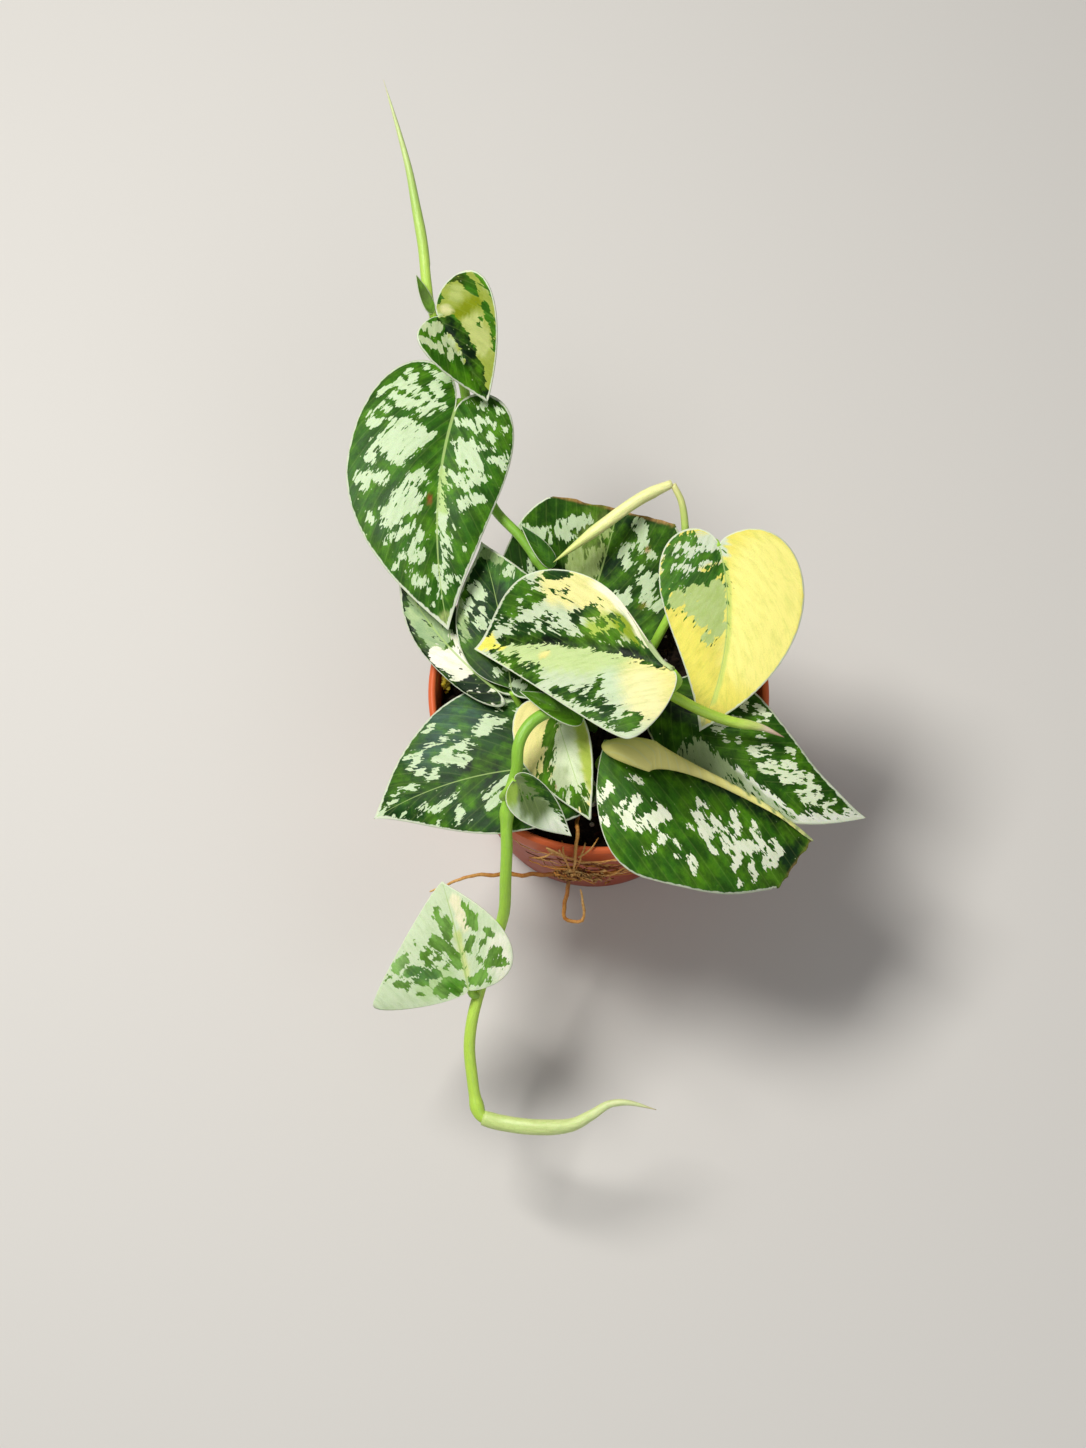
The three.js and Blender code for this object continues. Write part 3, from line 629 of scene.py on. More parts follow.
def blade_net(leaf, number):
    """The upper face of a blade, with what the paint needs to know at each point."""
    length = leaf["length"]
    halves = (leaf["left"], leaf["right"])
    counts = [max(6, round(half["width"] / BLADE_GRID)) for half in halves]
    rows = max(24, round(1.12 * length / BLADE_GRID))
    tables = [fold_table(half) for half in halves]
    rib = midrib(leaf)
    net = bmesh.new()
    flat = net.verts.layers.float_vector.new("flat")
    laterals = net.verts.layers.float_vector.new("laterals")
    marks = net.verts.layers.float_vector.new("marks")
    across_count = sum(counts)
    bmesh.ops.create_grid(net, x_segments=across_count, y_segments=rows, size=1)
    for vert in net.verts:
        column = round((vert.co.x + 1) / 2 * across_count) - counts[0]
        v = round((vert.co.y + 1) / 2 * rows) / rows
        side_index = 0 if column < 0 else 1
        half, table = halves[side_index], tables[side_index]
        sign = -1 if column < 0 else 1
        share = abs(column) / counts[side_index]
        reach, along = margin_point(half, length, v)
        if half["blunt"] and v > 0.8:
            along -= leaf.get("ragged", 0.0) * abs(noise.noise(Vector((sign * reach * 0.45, number, 0.5))))
        centre = length * v**MIDRIB_CROWDING
        y = centre + (along - centre) * share**MARGIN_CROWDING
        x = sign * reach * share
        place = share * (len(table) - 1)
        low = min(int(place), len(table) - 2)
        out, up = [a + (b - a) * (place - low) for a, b in zip(table[low], table[low + 1])]
        point, sideways, upward = rib(y)
        wave = noise.noise(Vector((x * 0.055, y * 0.055, number * 3.7))) * leaf.get("wavy", 1.0)
        between_veins = math.sin(2 * math.pi * (y - 0.75 * abs(x)) / VEIN_PITCH)
        quilt = between_veins * QUILT_HEIGHT * min(1, 4 * share * (1 - share))
        lift = (WAVE_HEIGHT * wave * share**1.6 + quilt) * min(1, 6 * v * (1 - v))
        vert.co = point + sideways * sign * reach * out + upward * (reach * up + lift)
        angle = math.radians(LATERAL_ANGLE + LATERAL_SPREAD * (y / length - 0.4))
        away = abs(x)
        vert[flat] = (x, y, number * NOISE_SHIFT)
        vert[laterals] = (away * math.cos(angle) + y * math.sin(angle),
                          y * math.cos(angle) - away * math.sin(angle), number * NOISE_SHIFT)
        edge = reach * (1 - share)
        if half["blunt"] and v > BLUNT_START - 0.01:
            edge = NO_MARGIN
        vert[marks] = (0, 0, edge)
    bmesh.ops.remove_doubles(net, verts=net.verts[:], dist=0.0005)
    return net


def stroke_distance(points, stroke):
    """How far each point lies from a painted stroke, given as x, y, x, y and so on."""
    corners = np.array(stroke, float).reshape(-1, 2)
    if len(corners) == 1:
        return np.hypot(*(points - corners[0]).T)
    nearest = np.full(len(points), 1e9)
    for a, b in zip(corners, corners[1:]):
        run = b - a
        t = np.clip((points - a) @ run / max(run @ run, 1e-9), 0, 1)
        nearest = np.minimum(nearest, np.hypot(*(points - a - t[:, None] * run).T))
    return nearest


def washed(points, colour, washes):
    """A soft base colour with other colours washed over parts of it: (colour, radius, softness, stroke...)."""
    colours = np.tile(np.array(colour, float), (len(points), 1))
    along = points[:, 1] - 0.7 * np.abs(points[:, 0])
    ripple = 0.3 * np.sin(1.1 * along + 0.3 * points[:, 0]) + 0.2 * np.sin(2.9 * along - 0.5 * points[:, 0])
    for wash, radius, softness, *stroke in washes:
        inside = radius + softness + ripple * min(radius, 3) - stroke_distance(points, stroke)
        share = np.clip(inside / softness, 0, 1)
        share = (share * share * (3 - 2 * share))[:, None]
        colours = colours * (1 - share) + np.array(wash) * share
    return colours


def paint(mesh, look):
    """Lays the variegation on a blade, and the painted shade and sheen that some washes carry: where it is pale and
    where it is sage, and its colours there.

    Splashes, islands and sage patches are strokes (radius, x, y, x, y...) on the flat blade, whose base is at 0, 0,
    with x negative on its left half. Washes are strokes with a colour and a softness before and after the radius.
    """
    count = len(mesh.vertices)
    flat = np.zeros(count * 3, np.float32)
    mesh.attributes["flat"].data.foreach_get("vector", flat)
    points = flat.reshape(-1, 3)[:, :2].astype(float)
    marks = np.zeros(count * 3, np.float32)
    mesh.attributes["marks"].data.foreach_get("vector", marks)
    marks = marks.reshape(-1, 3)
    pale = np.full(count, SURELY_IN if look.get("starts_pale") else SURELY_OUT)
    for radius, *stroke in look.get("splashes", ()):
        pale = np.maximum(pale, radius - stroke_distance(points, stroke))
    for radius, *stroke in look.get("islands", ()):
        pale = np.minimum(pale, stroke_distance(points, stroke) - radius)
    sage = np.full(count, SURELY_OUT)
    for radius, *stroke in look.get("sage", ()):
        sage = np.maximum(sage, radius - stroke_distance(points, stroke))
    marks[:, 0] = pale * look.get("crisp", 1.0)
    marks[:, 1] = sage
    marks[:, 2] /= max(look.get("margin", 1.0), 0.01)
    mesh.attributes["marks"].data.foreach_set("vector", marks.ravel())
    layers = {
        "ground": washed(points, look.get("ground", GREEN), look.get("ground_washes", ())),
        "pale": washed(points, look.get("pale", SILVER), look.get("pale_washes", ())),
        "sage": washed(points, look.get("sage_colour", SAGE), ()),
        "under": washed(points, look.get("under", srgb(112, 146, 92)), look.get("under_washes", ())),
    }
    for layer, colours in layers.items():
        attribute = mesh.attributes.new(layer, "FLOAT_COLOR", "POINT")
        attribute.data.foreach_set("color", colours.astype(np.float32).ravel())
    vein_width = mesh.attributes.new("vein_width", "FLOAT", "POINT")
    taper = np.clip(1 - points[:, 1] / points[:, 1].max(), 0, 1) ** 0.6
    vein_width.data.foreach_set("value", (0.001 + look.get("rib", 0.4) * taper).astype(np.float32))


def side_veins(tree, laterals):
    """Waves that run out from the midrib, one to each side vein. At scale 1 there are 3.18 waves in a millimetre."""
    return node(tree, "TexWave", Vector=laterals, Scale=1 / (VEIN_PITCH * 3.18), Distortion=0.9, Detail=2.0,
                Detail_Scale=0.6, bands_direction="Y")


def blade_skin(name):
    """The waxy upper face: green with crisp silver splashes drawn out along the side veins."""
    finish, tree, shader = new_finish(name, 0.45)
    flat = read(tree, "flat", "Vector")
    laterals = read(tree, "laterals", "Vector")
    marks = node(tree, "SeparateXYZ", read(tree, "marks", "Vector"))
    streaky = stretched(tree, laterals, 0.3, 1, 1)
    jag = grain(tree, streaky, 0.55, 3, 0.55)
    tooth = grain(tree, streaky, 1.5, 2, 0.5)
    torn = calc(tree, "MULTIPLY_ADD", calc(tree, "SUBTRACT", jag, 0.5), 7.0,
                calc(tree, "MULTIPLY", calc(tree, "SUBTRACT", tooth, 0.5), 3.4))
    gaps = ramp(tree, grain(tree, stretched(tree, laterals, 0.26, 1, 1), 0.8, 3, 0.5), 0.56, 0.68, 0.0, -2.4)
    is_pale = ramp(tree, calc(tree, "ADD", calc(tree, "ADD", marks.outputs[0], torn), gaps), -0.14, 0.14)
    is_sage = ramp(tree, calc(tree, "ADD", marks.outputs[1], torn), -0.25, 0.25)

    clouds = grain(tree, flat, 0.11, 5, 0.6)
    ground = mixed(tree, ramp(tree, clouds, 0.42, 0.68, 0.0, 0.6), read(tree, "ground", "Color"), srgb(100, 160, 20))
    shade = ramp(tree, grain(tree, streaky, 0.3, 5, 0.65), 0.35, 0.68, 0.5, 1.1)
    ground = mixed(tree, 1.0, ground, node(tree, "CombineColor", shade, shade, shade), "MULTIPLY")
    halftone = ramp(tree, grain(tree, streaky, 0.8, 6, 0.7), 0.58, 0.66, 0.0, 0.28)
    ground = mixed(tree, calc(tree, "MULTIPLY", halftone, ramp(tree, marks.outputs[0], -3.0, 0.0)), ground,
                   srgb(128, 164, 96))
    pale = mixed(tree, ramp(tree, grain(tree, streaky, 0.5, 6, 0.7), 0.42, 0.7, 0.0, 0.3), read(tree, "pale", "Color"),
                 srgb(170, 196, 134), "MULTIPLY")
    sage = mixed(tree, ramp(tree, grain(tree, streaky, 0.5, 6, 0.7), 0.35, 0.7, 0.0, 0.5), read(tree, "sage", "Color"),
                 srgb(206, 222, 160))
    colour = mixed(tree, is_sage, ground, sage)
    colour = mixed(tree, is_pale, colour, pale)

    dots = node(tree, "TexVoronoi", Vector=flat, Scale=0.42)
    chosen = ramp(tree, grain(tree, flat, 0.3, 3), 0.52, 0.6)
    dot = calc(tree, "MULTIPLY", ramp(tree, dots, 0.13, 0.07), chosen)
    colour = mixed(tree, calc(tree, "MULTIPLY", dot, calc(tree, "SUBTRACT", 1.0, is_pale)), colour,
                   srgb(186, 206, 150))
    side_vein = side_veins(tree, laterals)
    vein = ramp(tree, side_vein, 0.93, 1.0, 0.0, 0.07)
    colour = mixed(tree, vein, colour, srgb(176, 206, 110))
    cells = grain(tree, flat, 4.0, 3, 0.7)
    speck = ramp(tree, cells, 0.3, 0.7, 0.84, 1.1)
    colour = mixed(tree, 1.0, colour, node(tree, "CombineColor", speck, speck, speck), "MULTIPLY")

    away = calc(tree, "ABSOLUTE", node(tree, "SeparateXYZ", flat).outputs[0])
    on_rib = ramp(tree, calc(tree, "DIVIDE", away, read(tree, "vein_width", "Fac")), 1.0, 0.5, 0.0, 0.75)
    colour = mixed(tree, on_rib, colour, srgb(172, 200, 118))
    edge = calc(tree, "MULTIPLY_ADD", calc(tree, "SUBTRACT", jag, 0.5), 1.2, marks.outputs[2])
    colour = mixed(tree, ramp(tree, edge, 0.75, 0.45, 0.0, 0.92), colour, srgb(222, 230, 204))

    feed(tree, shader.inputs["Base Color"], colour)
    feed(tree, shader.inputs["Roughness"], ramp(tree, clouds, 0.3, 0.7, 0.38, 0.5))
    relief = calc(tree, "MULTIPLY_ADD", side_vein, 0.3, calc(tree, "MULTIPLY", cells, 0.5))
    relief = calc(tree, "MULTIPLY_ADD", is_pale, 0.18, relief)
    feed(tree, shader.inputs["Normal"], node(tree, "Bump", Height=relief, Distance=0.00016, Strength=0.9))
    shader.inputs["Specular IOR Level"].default_value = 0.15
    shader.inputs["Subsurface Weight"].default_value = 0.1
    shader.inputs["Subsurface Radius"].default_value = (0.5, 1.0, 0.15)
    shader.inputs["Subsurface Scale"].default_value = 0.001
    return finish


def blade_back(name):
    """The duller, paler lower face, on which the side veins stand out."""
    finish, tree, shader = new_finish(name, 0.55)
    laterals = read(tree, "laterals", "Vector")
    flat = read(tree, "flat", "Vector")
    under = read(tree, "under", "Color")
    clouds = grain(tree, stretched(tree, laterals, 0.3, 1, 1), 0.35, 5, 0.6)
    colour = mixed(tree, ramp(tree, clouds, 0.35, 0.7, 0.0, 0.2), under, srgb(214, 212, 160), "MULTIPLY")
    side_vein = side_veins(tree, laterals)
    colour = mixed(tree, ramp(tree, side_vein, 0.85, 1.0, 0.0, 0.25), colour, srgb(232, 238, 186))
    away = calc(tree, "ABSOLUTE", node(tree, "SeparateXYZ", flat).outputs[0])
    colour = mixed(tree, ramp(tree, away, 1.3, 0.5, 0.0, 0.6), colour, srgb(196, 214, 140))
    feed(tree, shader.inputs["Base Color"], colour)
    relief = calc(tree, "MULTIPLY_ADD", side_vein, 0.8, grain(tree, flat, 4.0, 3, 0.6))
    feed(tree, shader.inputs["Normal"], node(tree, "Bump", Height=relief, Distance=0.0002))
    shader.inputs["Specular IOR Level"].default_value = 0.35
    return finish


BLADE_FINISHES = {
    slot: [blade_skin(f"{slot}_face"), blade_back(f"{slot}_back")]
    for slot in ("leaf_green", "leaf_cream", "leaf_sage", "sheath")
}
blade_numbers = itertools.count(1)


def grow_leaf(name, slot, leaf, look, thickness=BLADE_THICKNESS, rib_thickness=RIB_THICKNESS, stands_for=None):
    """A blade from its shape and its paint, thickened downwards and most along the midrib."""
    net = blade_net(leaf, next(blade_numbers))
    piece = add_piece(f"{name}_blade", net, BLADE_FINISHES[slot], [stands_for or f"{name}_leaf"])
    paint(piece.data, look)
    rib_group = piece.vertex_groups.new(name="rib")
    for vert, place in zip(piece.data.vertices, piece.data.attributes["flat"].data):
        near = math.exp(-(place.vector[0] / RIB_SPREAD) ** 2) * max(0.0, 1 - place.vector[1] / leaf["length"]) ** 0.5
        share = thickness / rib_thickness
        rib_group.add([vert.index], share + (1 - share) * near, "REPLACE")
    body = piece.modifiers.new("blade_thickness", "SOLIDIFY")
    body.thickness = rib_thickness * MM
    body.offset = -1
    body.vertex_group = "rib"
    body.material_offset = 1
    body.material_offset_rim = 0
    return piece


# The back left heart: splashed with silver, with a rusty spot beside its midrib.
grow_leaf("back_left", "leaf_green", dict(
    base=(-51, 95.5, 131), length=81, heading=195, pitch=2, droop=22, sweep=-28,
    left=half_leaf(24, 12, 14, -30, widest=0.17), right=half_leaf(34, 19, 14, -30),
), dict(
    rib=0.7, margin=0.9,
    splashes=[
        (1.2, 7, 43, 12, 46, 17, 49), (2.6, 8, 37, 13, 39.5, 17.5, 42.5), (2.4, 9, 32.5, 14, 36, 18, 39),
        (1.3, 5.5, 34, 9, 33), (1.3, 6, 24.5, 10, 27, 15, 33), (1.0, 5, 27, 8, 30), (1.5, 5.5, 46.5, 8.5, 49.5),
        (1.2, 9, 51.5, 12, 54, 15, 57.5), (1.8, 6, 53.5, 8, 55), (1.9, 6, 63, 9, 62), (0.9, 9.3, 59, 9.5, 60.5),
        (0.8, 4, 66, 5, 67), (3.2, 10, 14, 14, 18), (3.6, 15, 13, 20, 17), (2.2, 18, 20, 15, 22),
        (2.0, 21, 14, 24, 17), (2.2, 8, 12, 12, 10), (2.4, 14, 9, 19, 10), (1.3, 6, 12, 5, 10),
        (2.0, 19.5, 28.5, 24, 28, 29, 28.5), (1.0, 25, 31, 27, 32), (1.9, 24.5, 22, 26, 21), (1.3, 23, 42, 24, 40.5),
        (2.0, 26.5, 10.5, 29, 8.5), (1.4, 23, 5.5, 25, 4.5), (1.8, 5, 0, 9, -1, 12, -2.5), (2.0, 13, 0.5, 20, 1.5),
        (1.4, 8, 2, 12, 4), (2.2, 16, -4, 22, -5), (1.8, 18, -7, 20, -10), (1.2, 22, -1, 24, 0),
        (2.0, 7, -5, 10, -8), (1.7, 7, -12, 11, -13), (1.2, 27, -2, 28, 0), (1.0, 13, -13, 16, -14),
        (1.1, -3.2, 58, -2.6, 52), (1.8, -2.8, 50, -2.2, 45, -2, 38), (1.1, -1.6, 36, -1, 30, -0.6, 22),
        (1.7, -3.5, 63, -1, 65.5), (1.4, 0, 62, 0.8, 59), (0.8, 0.5, 68.5), (2.1, -15, 33, -11, 34),
        (1.6, -9, 37, -8.5, 35), (1.6, -16, 25, -11, 27.5), (1.4, -10, 29.5, -6, 28), (1.5, -6, 26, -3, 24.5),
        (3.2, -12, 20, -9, 14), (2.2, -7, 20, -5.5, 13), (1.2, -5, 11, -3.5, 12), (1.6, -13, 24, -9, 24),
        (1.6, -22, 19, -21, 14), (1.4, -19, 17, -17.5, 16), (1.1, -17, 12, -14, 12), (1.6, -16, 9, -14.5, 7),
        (1.8, -10, 5.5, -5, 3), (1.4, -15, 1.5, -9, 1), (0.9, -3, 5, -1.5, 4), (1.5, -9, -6, -9, -4),
        (1.3, -16, -4, -14.5, -5.5), (0.8, -20, 4, -19, 2), (0.8, -4, -5), (0.7, -9.6, 52.5),
        (0.6, -6.5, 45, -6, 43), (0.7, -7, 62, -6.5, 64), (0.6, 4, 71),
    ],
    ground_washes=[(BROWN, 0.6, 0.8, 3, 35.5, 3, 33.5), (srgb(176, 190, 120), 1, 2, 0, 76, 0, 79)],
    pale_washes=[(BROWN, 0.6, 0.8, 3, 35.5, 3, 33.5), (srgb(190, 216, 140), 1.2, 1.5, -2, 38, -1, 24)],
))

# The small last leaf of the back vine, folded along its midrib.
grow_leaf("folded_back", "leaf_green", dict(
    base=(-56.5, 124, 148), length=34.5, heading=144, pitch=-16, droop=10, sweep=7,
    left=half_leaf(23.5, 7, 42, 5, widest=0.02), right=half_leaf(15.5, 1, 42, -15, widest=0.2),
), dict(
    rib=0.0, margin=0.7, crisp=2.2, pale=srgb(212, 226, 180), ground=srgb(62, 122, 22), under=srgb(120, 150, 50),
    splashes=[
        (8, -13.5, -2, -13.5, 8), (6.5, -12, 14), (5.5, -10, 20), (3.6, -7.5, 26, -6, 30), (2, -4.5, 34, -3, 38),
        (2.6, -6, 0, -2, -1), (2.0, 2, 3, 7, 4), (1.7, 1.5, 8, 1, 14), (1.6, 4, 13, 6, 15), (1.6, 10, 9, 13, 5),
        (1.3, 7, 1, 10, 2), (1.2, 7, 9, 8, 12), (1.0, 4, 8, 5, 10), (1.0, 1, 18),
    ],
    islands=[(1.8, -17.5, 1, -17, -4), (1.5, -17.5, 7, -16, 15), (1.6, -15, -6.5, -11, -7.5), (1.2, -14, 18, -13, 21),
             (0.7, -12, 10)],
    pale_washes=[(srgb(164, 178, 76), 10, 3, -12, -2, -10, 30), (srgb(196, 204, 124), 3, 3, -10, 8, -9, 16),
                 (srgb(186, 198, 112), 2, 2, -11, -2), (srgb(136, 150, 22), 1.4, 2, -16, 4, -6, 3.5),
                 (srgb(224, 222, 160), 1.2, 2, -4, 0)],
    # The DEEP wash along x = -2 is painted shadow in the crease of the fold.
    ground_washes=[(DEEP, 2.6, 1.2, -1.5, 2, -2.5, 12, -2.5, 34), (srgb(70, 88, 20), 2, 3, -14, -6)],
))

# The leaf on the highest stalk: mostly pale, with green islands and a lemon-yellow tip.
grow_leaf("centre", "leaf_sage", dict(
    base=(23.5, -11, 152), length=79, heading=298, pitch=-13, droop=25, sweep=-22,
    left=half_leaf(31, 5, 22, -20, widest=0.03), right=half_leaf(25, -13, 28, -10, widest=0.58),
), dict(
    starts_pale=True, rib=0.0, margin=0.6, ground=srgb(30, 70, 18), pale=srgb(206, 220, 186),
    under=srgb(176, 196, 140),
    islands=[
        (2.3, -15, 46, -13, 51, -11, 55), (1.9, -10.5, 57, -6, 60), (1.5, -8, 61, -4.5, 66), (0.9, -3, 69, -2, 71),
        (1.2, -11, 48, -10, 51), (1.8, -19, 37, -20.5, 30), (2.1, -21, 27, -22, 22), (1.5, -20, 22, -13, 21.5),
        (0.9, -16.5, 25), (1.9, -22, 18, -23.5, 12), (1.0, -19.5, 17), (1.6, -27, 20, -26, 12),
        (3.0, -26.5, 4, -24, 2), (1.5, -28, 9, -26.5, 8), (1.0, -23, 6), (0.8, -24.5, 27),
        (1.6, 2.5, 65, 2, 61), (1.2, 4.5, 62, 4.5, 55), (1.4, 6.5, 60, 5.5, 54), (1.5, 7, 61, 11, 61.5),
        (1.2, 5, 49.5, 9, 50), (2.4, 2.2, 48, 2.8, 43), (1.2, 3, 54, 2.5, 51), (1.0, 3, 58),
        (2.0, 1.5, 66, 1.8, 50, 1.6, 40, 1.4, 20, 1.0, 6), (1.8, 5.5, 72, 8, 70), (1.8, 10.5, 68.5, 15, 64),
        (2.7, 15, 64, 19.5, 58), (1.8, 9, 65, 13, 62), (1.9, 14, 56, 16, 52), (1.7, 23, 50, 24, 43),
        (1.2, 20, 53), (1.0, 17, 43, 17.5, 45), (1.4, 4, 32.5, 6.5, 36, 10, 38.5), (1.9, 11, 36, 13, 32),
        (1.4, 8.5, 29.5, 11, 26), (1.2, 3.5, 29, 5, 27), (1.8, 2.5, 25, 6, 24.5), (1.4, 11.5, 24.5),
        (2.0, 2.5, 19, 2.5, 9), (1.2, 6.5, 21, 8.5, 22), (1.2, 5, 13.5), (1.0, 8, 45), (1.0, 13.5, 59),
    ],
    # The last ground wash, nearly black along the midrib, is painted shade in the crease of the fold.
    ground_washes=[(srgb(92, 138, 22), 2, 3, 5, 33, 11, 30), (srgb(72, 122, 16), 2, 3, 5, 24, 8, 14),
                   (srgb(70, 120, 32), 2, 3, -25, 4), (srgb(60, 108, 28), 2, 3, 15, 63, 19, 57),
                   (srgb(12, 30, 8), 1.0, 1.4, 0.8, 66, 0.9, 40, 0.8, 10)],
    pale_washes=[
        (srgb(204, 223, 156), 4, 6, -4, 12, -5, 34, -5, 60), (srgb(208, 226, 190), 1.5, 8, -13, 14, -12, 18),
        (srgb(248, 238, 150), 3, 12, -9, 1, -3, 6),
        (srgb(250, 244, 180), 1, 10, -17, 0, -8, 8), (srgb(244, 234, 150), 1.2, 1.5, -5, 47),
        (LEMON, 3.0, 1.4, 2.5, 73, 0.5, 80), (LEMON, 0.8, 1.0, 0, 72, -1.2, 66),
        (srgb(244, 236, 160), 4.5, 5, 20, 45, 19, 34),
        (srgb(244, 236, 160), 2.5, 4, 15, 32, 17, 27), (srgb(182, 204, 88), 2.4, 3, 6, 31, 9, 26),
        (srgb(146, 166, 34), 1.6, 2.4, 4, 12, 11, 23), (srgb(248, 244, 214), 1.3, 1.0, 4, 10, 13, 18.5, 22, 32),
        (srgb(212, 226, 192), 2, 4, 8, 47),
    ],
))

# The right heart: one half nearly all yellow, the other green and sage at its base.
grow_leaf("yellow", "leaf_cream", dict(
    base=(42, 45, 127), length=67, heading=167, pitch=-5, droop=14, sweep=40,
    left=half_leaf(27, 5, 12, -20, widest=0.24), right=half_leaf(23.5, 11, 12, -20, widest=0.2),
), dict(
    starts_pale=True, rib=0.35, margin=0.7, ground=srgb(64, 118, 34), pale=srgb(240, 228, 108),
    under=srgb(232, 222, 130), sage_colour=srgb(176, 198, 116),
    islands=[
        (2.4, 1.5, 8, 6, 10.5, 9, 12.5), (1.9, 2, 3.5, 7, 2.5), (2.0, 10, 10, 16, 12.5), (2.2, 17, 8, 19, 13),
        (1.4, 9.5, 5, 13.5, 2.5, 17, 2.5), (2.3, 21.5, 21, 22, 14, 20.5, 7), (2.0, 20, 4, 17.5, -3),
        (2.0, 10, -6, 15, -6.5), (1.2, 9, -3, 8, -7), (1.4, 14, -1), (1.0, 5, 7.5, 8, 6),
        (3.0, 3.5, 14, 3.5, 30), (2.2, 6.5, 34), (3.2, 8, 15, 8, 27), (2.6, 12, 14, 12.5, 24), (2.6, 17, 15, 17.5, 21),
        (1.5, 20.5, 22),
    ],
    sage=[(4.2, 3.5, 16, 3.5, 30), (3.2, 6.5, 34), (4.4, 8, 18, 8, 27), (3.6, 12, 17, 12.5, 24), (3, 17, 18, 17.5, 21)],
    pale_washes=[
        (srgb(252, 243, 140), 9, 8, -15, 12, -12, 36), (srgb(246, 234, 108), 3, 4, 15, 31, 9, 45, 5, 55),
        (srgb(214, 225, 198), 6, 1.5, 4, 0, 14, 2, 15, 9), (srgb(206, 220, 112), 0.3, 1.0, -0.7, 6, -0.7, 56),
        (srgb(228, 226, 150), 1.2, 2.0, 2, 62, 0, 66),
    ],
    ground_washes=[(srgb(46, 100, 28), 2, 3, 3, 6), (srgb(92, 146, 44), 3, 3, 12, -4)],
))

# The low blade at the back, between the two hearts: torn off square, with a brown edge.
grow_leaf("cut", "leaf_green", dict(
    base=(-5.5, 26.5, 101), length=43, heading=23, pitch=22, droop=-10, sweep=-8, ragged=1.5,
    left=half_leaf(35, 6, 12, -10, widest=0.25, full=0.4, blunt=23),
    right=half_leaf(28, 6, 12, -10, full=0.4, blunt=21),
), dict(
    rib=0.6, margin=0.7, ground=srgb(40, 84, 12), sage_colour=srgb(146, 168, 92),
    sage=[(2.6, -4, 24, -3, 8), (3.0, -10, 24, -7, 10), (1.6, -2, 34, -2, 26)],
    splashes=[
        (2.8, -16, 33, -12, 35), (1.8, -19, 30, -20, 26), (1.5, -9, 36), (2, -14, 29, -17, 29), (2.2, -28, 27, -24, 26),
        (1.3, -24, 23, -23, 29), (1.6, -33, 27), (1.5, 5, 29, 8, 32), (1.8, 7, 31, 8, 25), (2.4, 8, 40, 11, 37),
        (2.0, 11, 35, 13, 31.5), (1.6, 15, 31, 16.5, 30.5), (1.0, 13, 26, 14, 24), (1.8, 15, 21, 19, 24),
        (2.4, 18, 20, 20, 15), (1.8, 22, 16, 24, 14), (2.2, 8, 13, 12, 13), (1.0, 12, 16), (1.5, -26, 14, -22, 10),
        (1.5, 4, 4, 8, 2),
    ],
    # The nearly black wash at x = -2.5 is a painted shadow between the crease and the midrib.
    ground_washes=[
        (srgb(112, 138, 62), 3.5, 4, -6.5, 20, -6, 36), (srgb(10, 26, 10), 0.8, 1.4, -2.6, 36, -2.4, 30),
        (srgb(24, 60, 24), 2, 3, 4, 20, 4, 38), (srgb(176, 128, 66), 0.5, 0.8, 14, 32),
        (srgb(186, 132, 60), 0.7, 0.8, 18.5, 13), (srgb(178, 138, 80), 0.35, 0.8, -23, 42.6, 0, 42.6, 21, 42.6),
    ],
    pale_washes=[(srgb(176, 128, 66), 0.6, 0.8, 14, 32), (srgb(186, 132, 60), 0.7, 0.8, 18.5, 13),
                 (srgb(178, 138, 80), 0.35, 0.8, -23, 42.6, 0, 42.6, 21, 42.6)],
))

# The dark blade beneath the centre leaf and the back left one.
grow_leaf("under", "leaf_green", dict(
    base=(-30.5, -4.5, 116), length=58, heading=-7, pitch=4, droop=10, sweep=-8,
    left=half_leaf(16, -2, 5, -20, widest=0.41), right=half_leaf(23, 5, 10, -10),
), dict(
    rib=0.3, margin=0.7, ground=srgb(22, 66, 16), sage_colour=srgb(128, 160, 100),
    splashes=[
        (2.8, -6, 40, -5, 37), (1.6, -9, 36, -10, 33), (1.2, -11, 31), (2.3, -7, 28, -6, 25.5), (0.9, -5.5, 32),
        (1.6, -4, 7, -2, 8), (0.9, -4, 15, -2, 14), (1.3, 2, 2, 4, 1), (2, 8, 30, 12, 33), (1.6, 6, 43, 7, 45),
        (2, 10, 16, 14, 20), (1.6, 4, 22, 6, 26), (1.4, 14, 8),
    ],
    sage=[(1.5, -13, 36, -13.5, 22), (2.2, 0, 53, 4, 49), (0.8, -8, 45)],
    ground_washes=[(srgb(60, 118, 42), 3, 4, 4, 46, 8, 42)],
))

# The narrow blade over the left rim: dark at its base, then cream, then sage.
grow_leaf("left_rim", "leaf_sage", dict(
    base=(-36.5, -3, 114), length=59, heading=-52, pitch=4, droop=14, sweep=31,
    left=half_leaf(8.8, 8, -2, -20, widest=0.4), right=half_leaf(14.5, 10, -5, -20, full=0.5),
), dict(
    rib=0.6, margin=0.55, crisp=1.6, ground=srgb(4, 42, 6), pale=srgb(240, 241, 216),
    sage_colour=srgb(142, 172, 122),
    splashes=[(3.0, -5, 23, -4, 13), (2.6, -1, 20, -0.5, 12), (1.0, 3.5, 25, 4, 14), (0.9, 1.5, 7, 2, 5),
              (0.8, -5, -3), (0.9, 7, 1, 9, 1), (0.9, -4, 4), (0.9, -7, 6, -6.5, 4), (0.8, -1.5, 0), (0.8, 4, -3)],
    pale_washes=[(srgb(252, 250, 232), 4, 3, -4, 22, 2, 14)],
    sage=[(2.6, -2.6, 40, -3.2, 30, -3.4, 22), (2.6, 1, 39, 2, 30, 2, 26), (1.4, -1, 43, 0, 47), (1.6, 5, 34, 5, 38)],
))

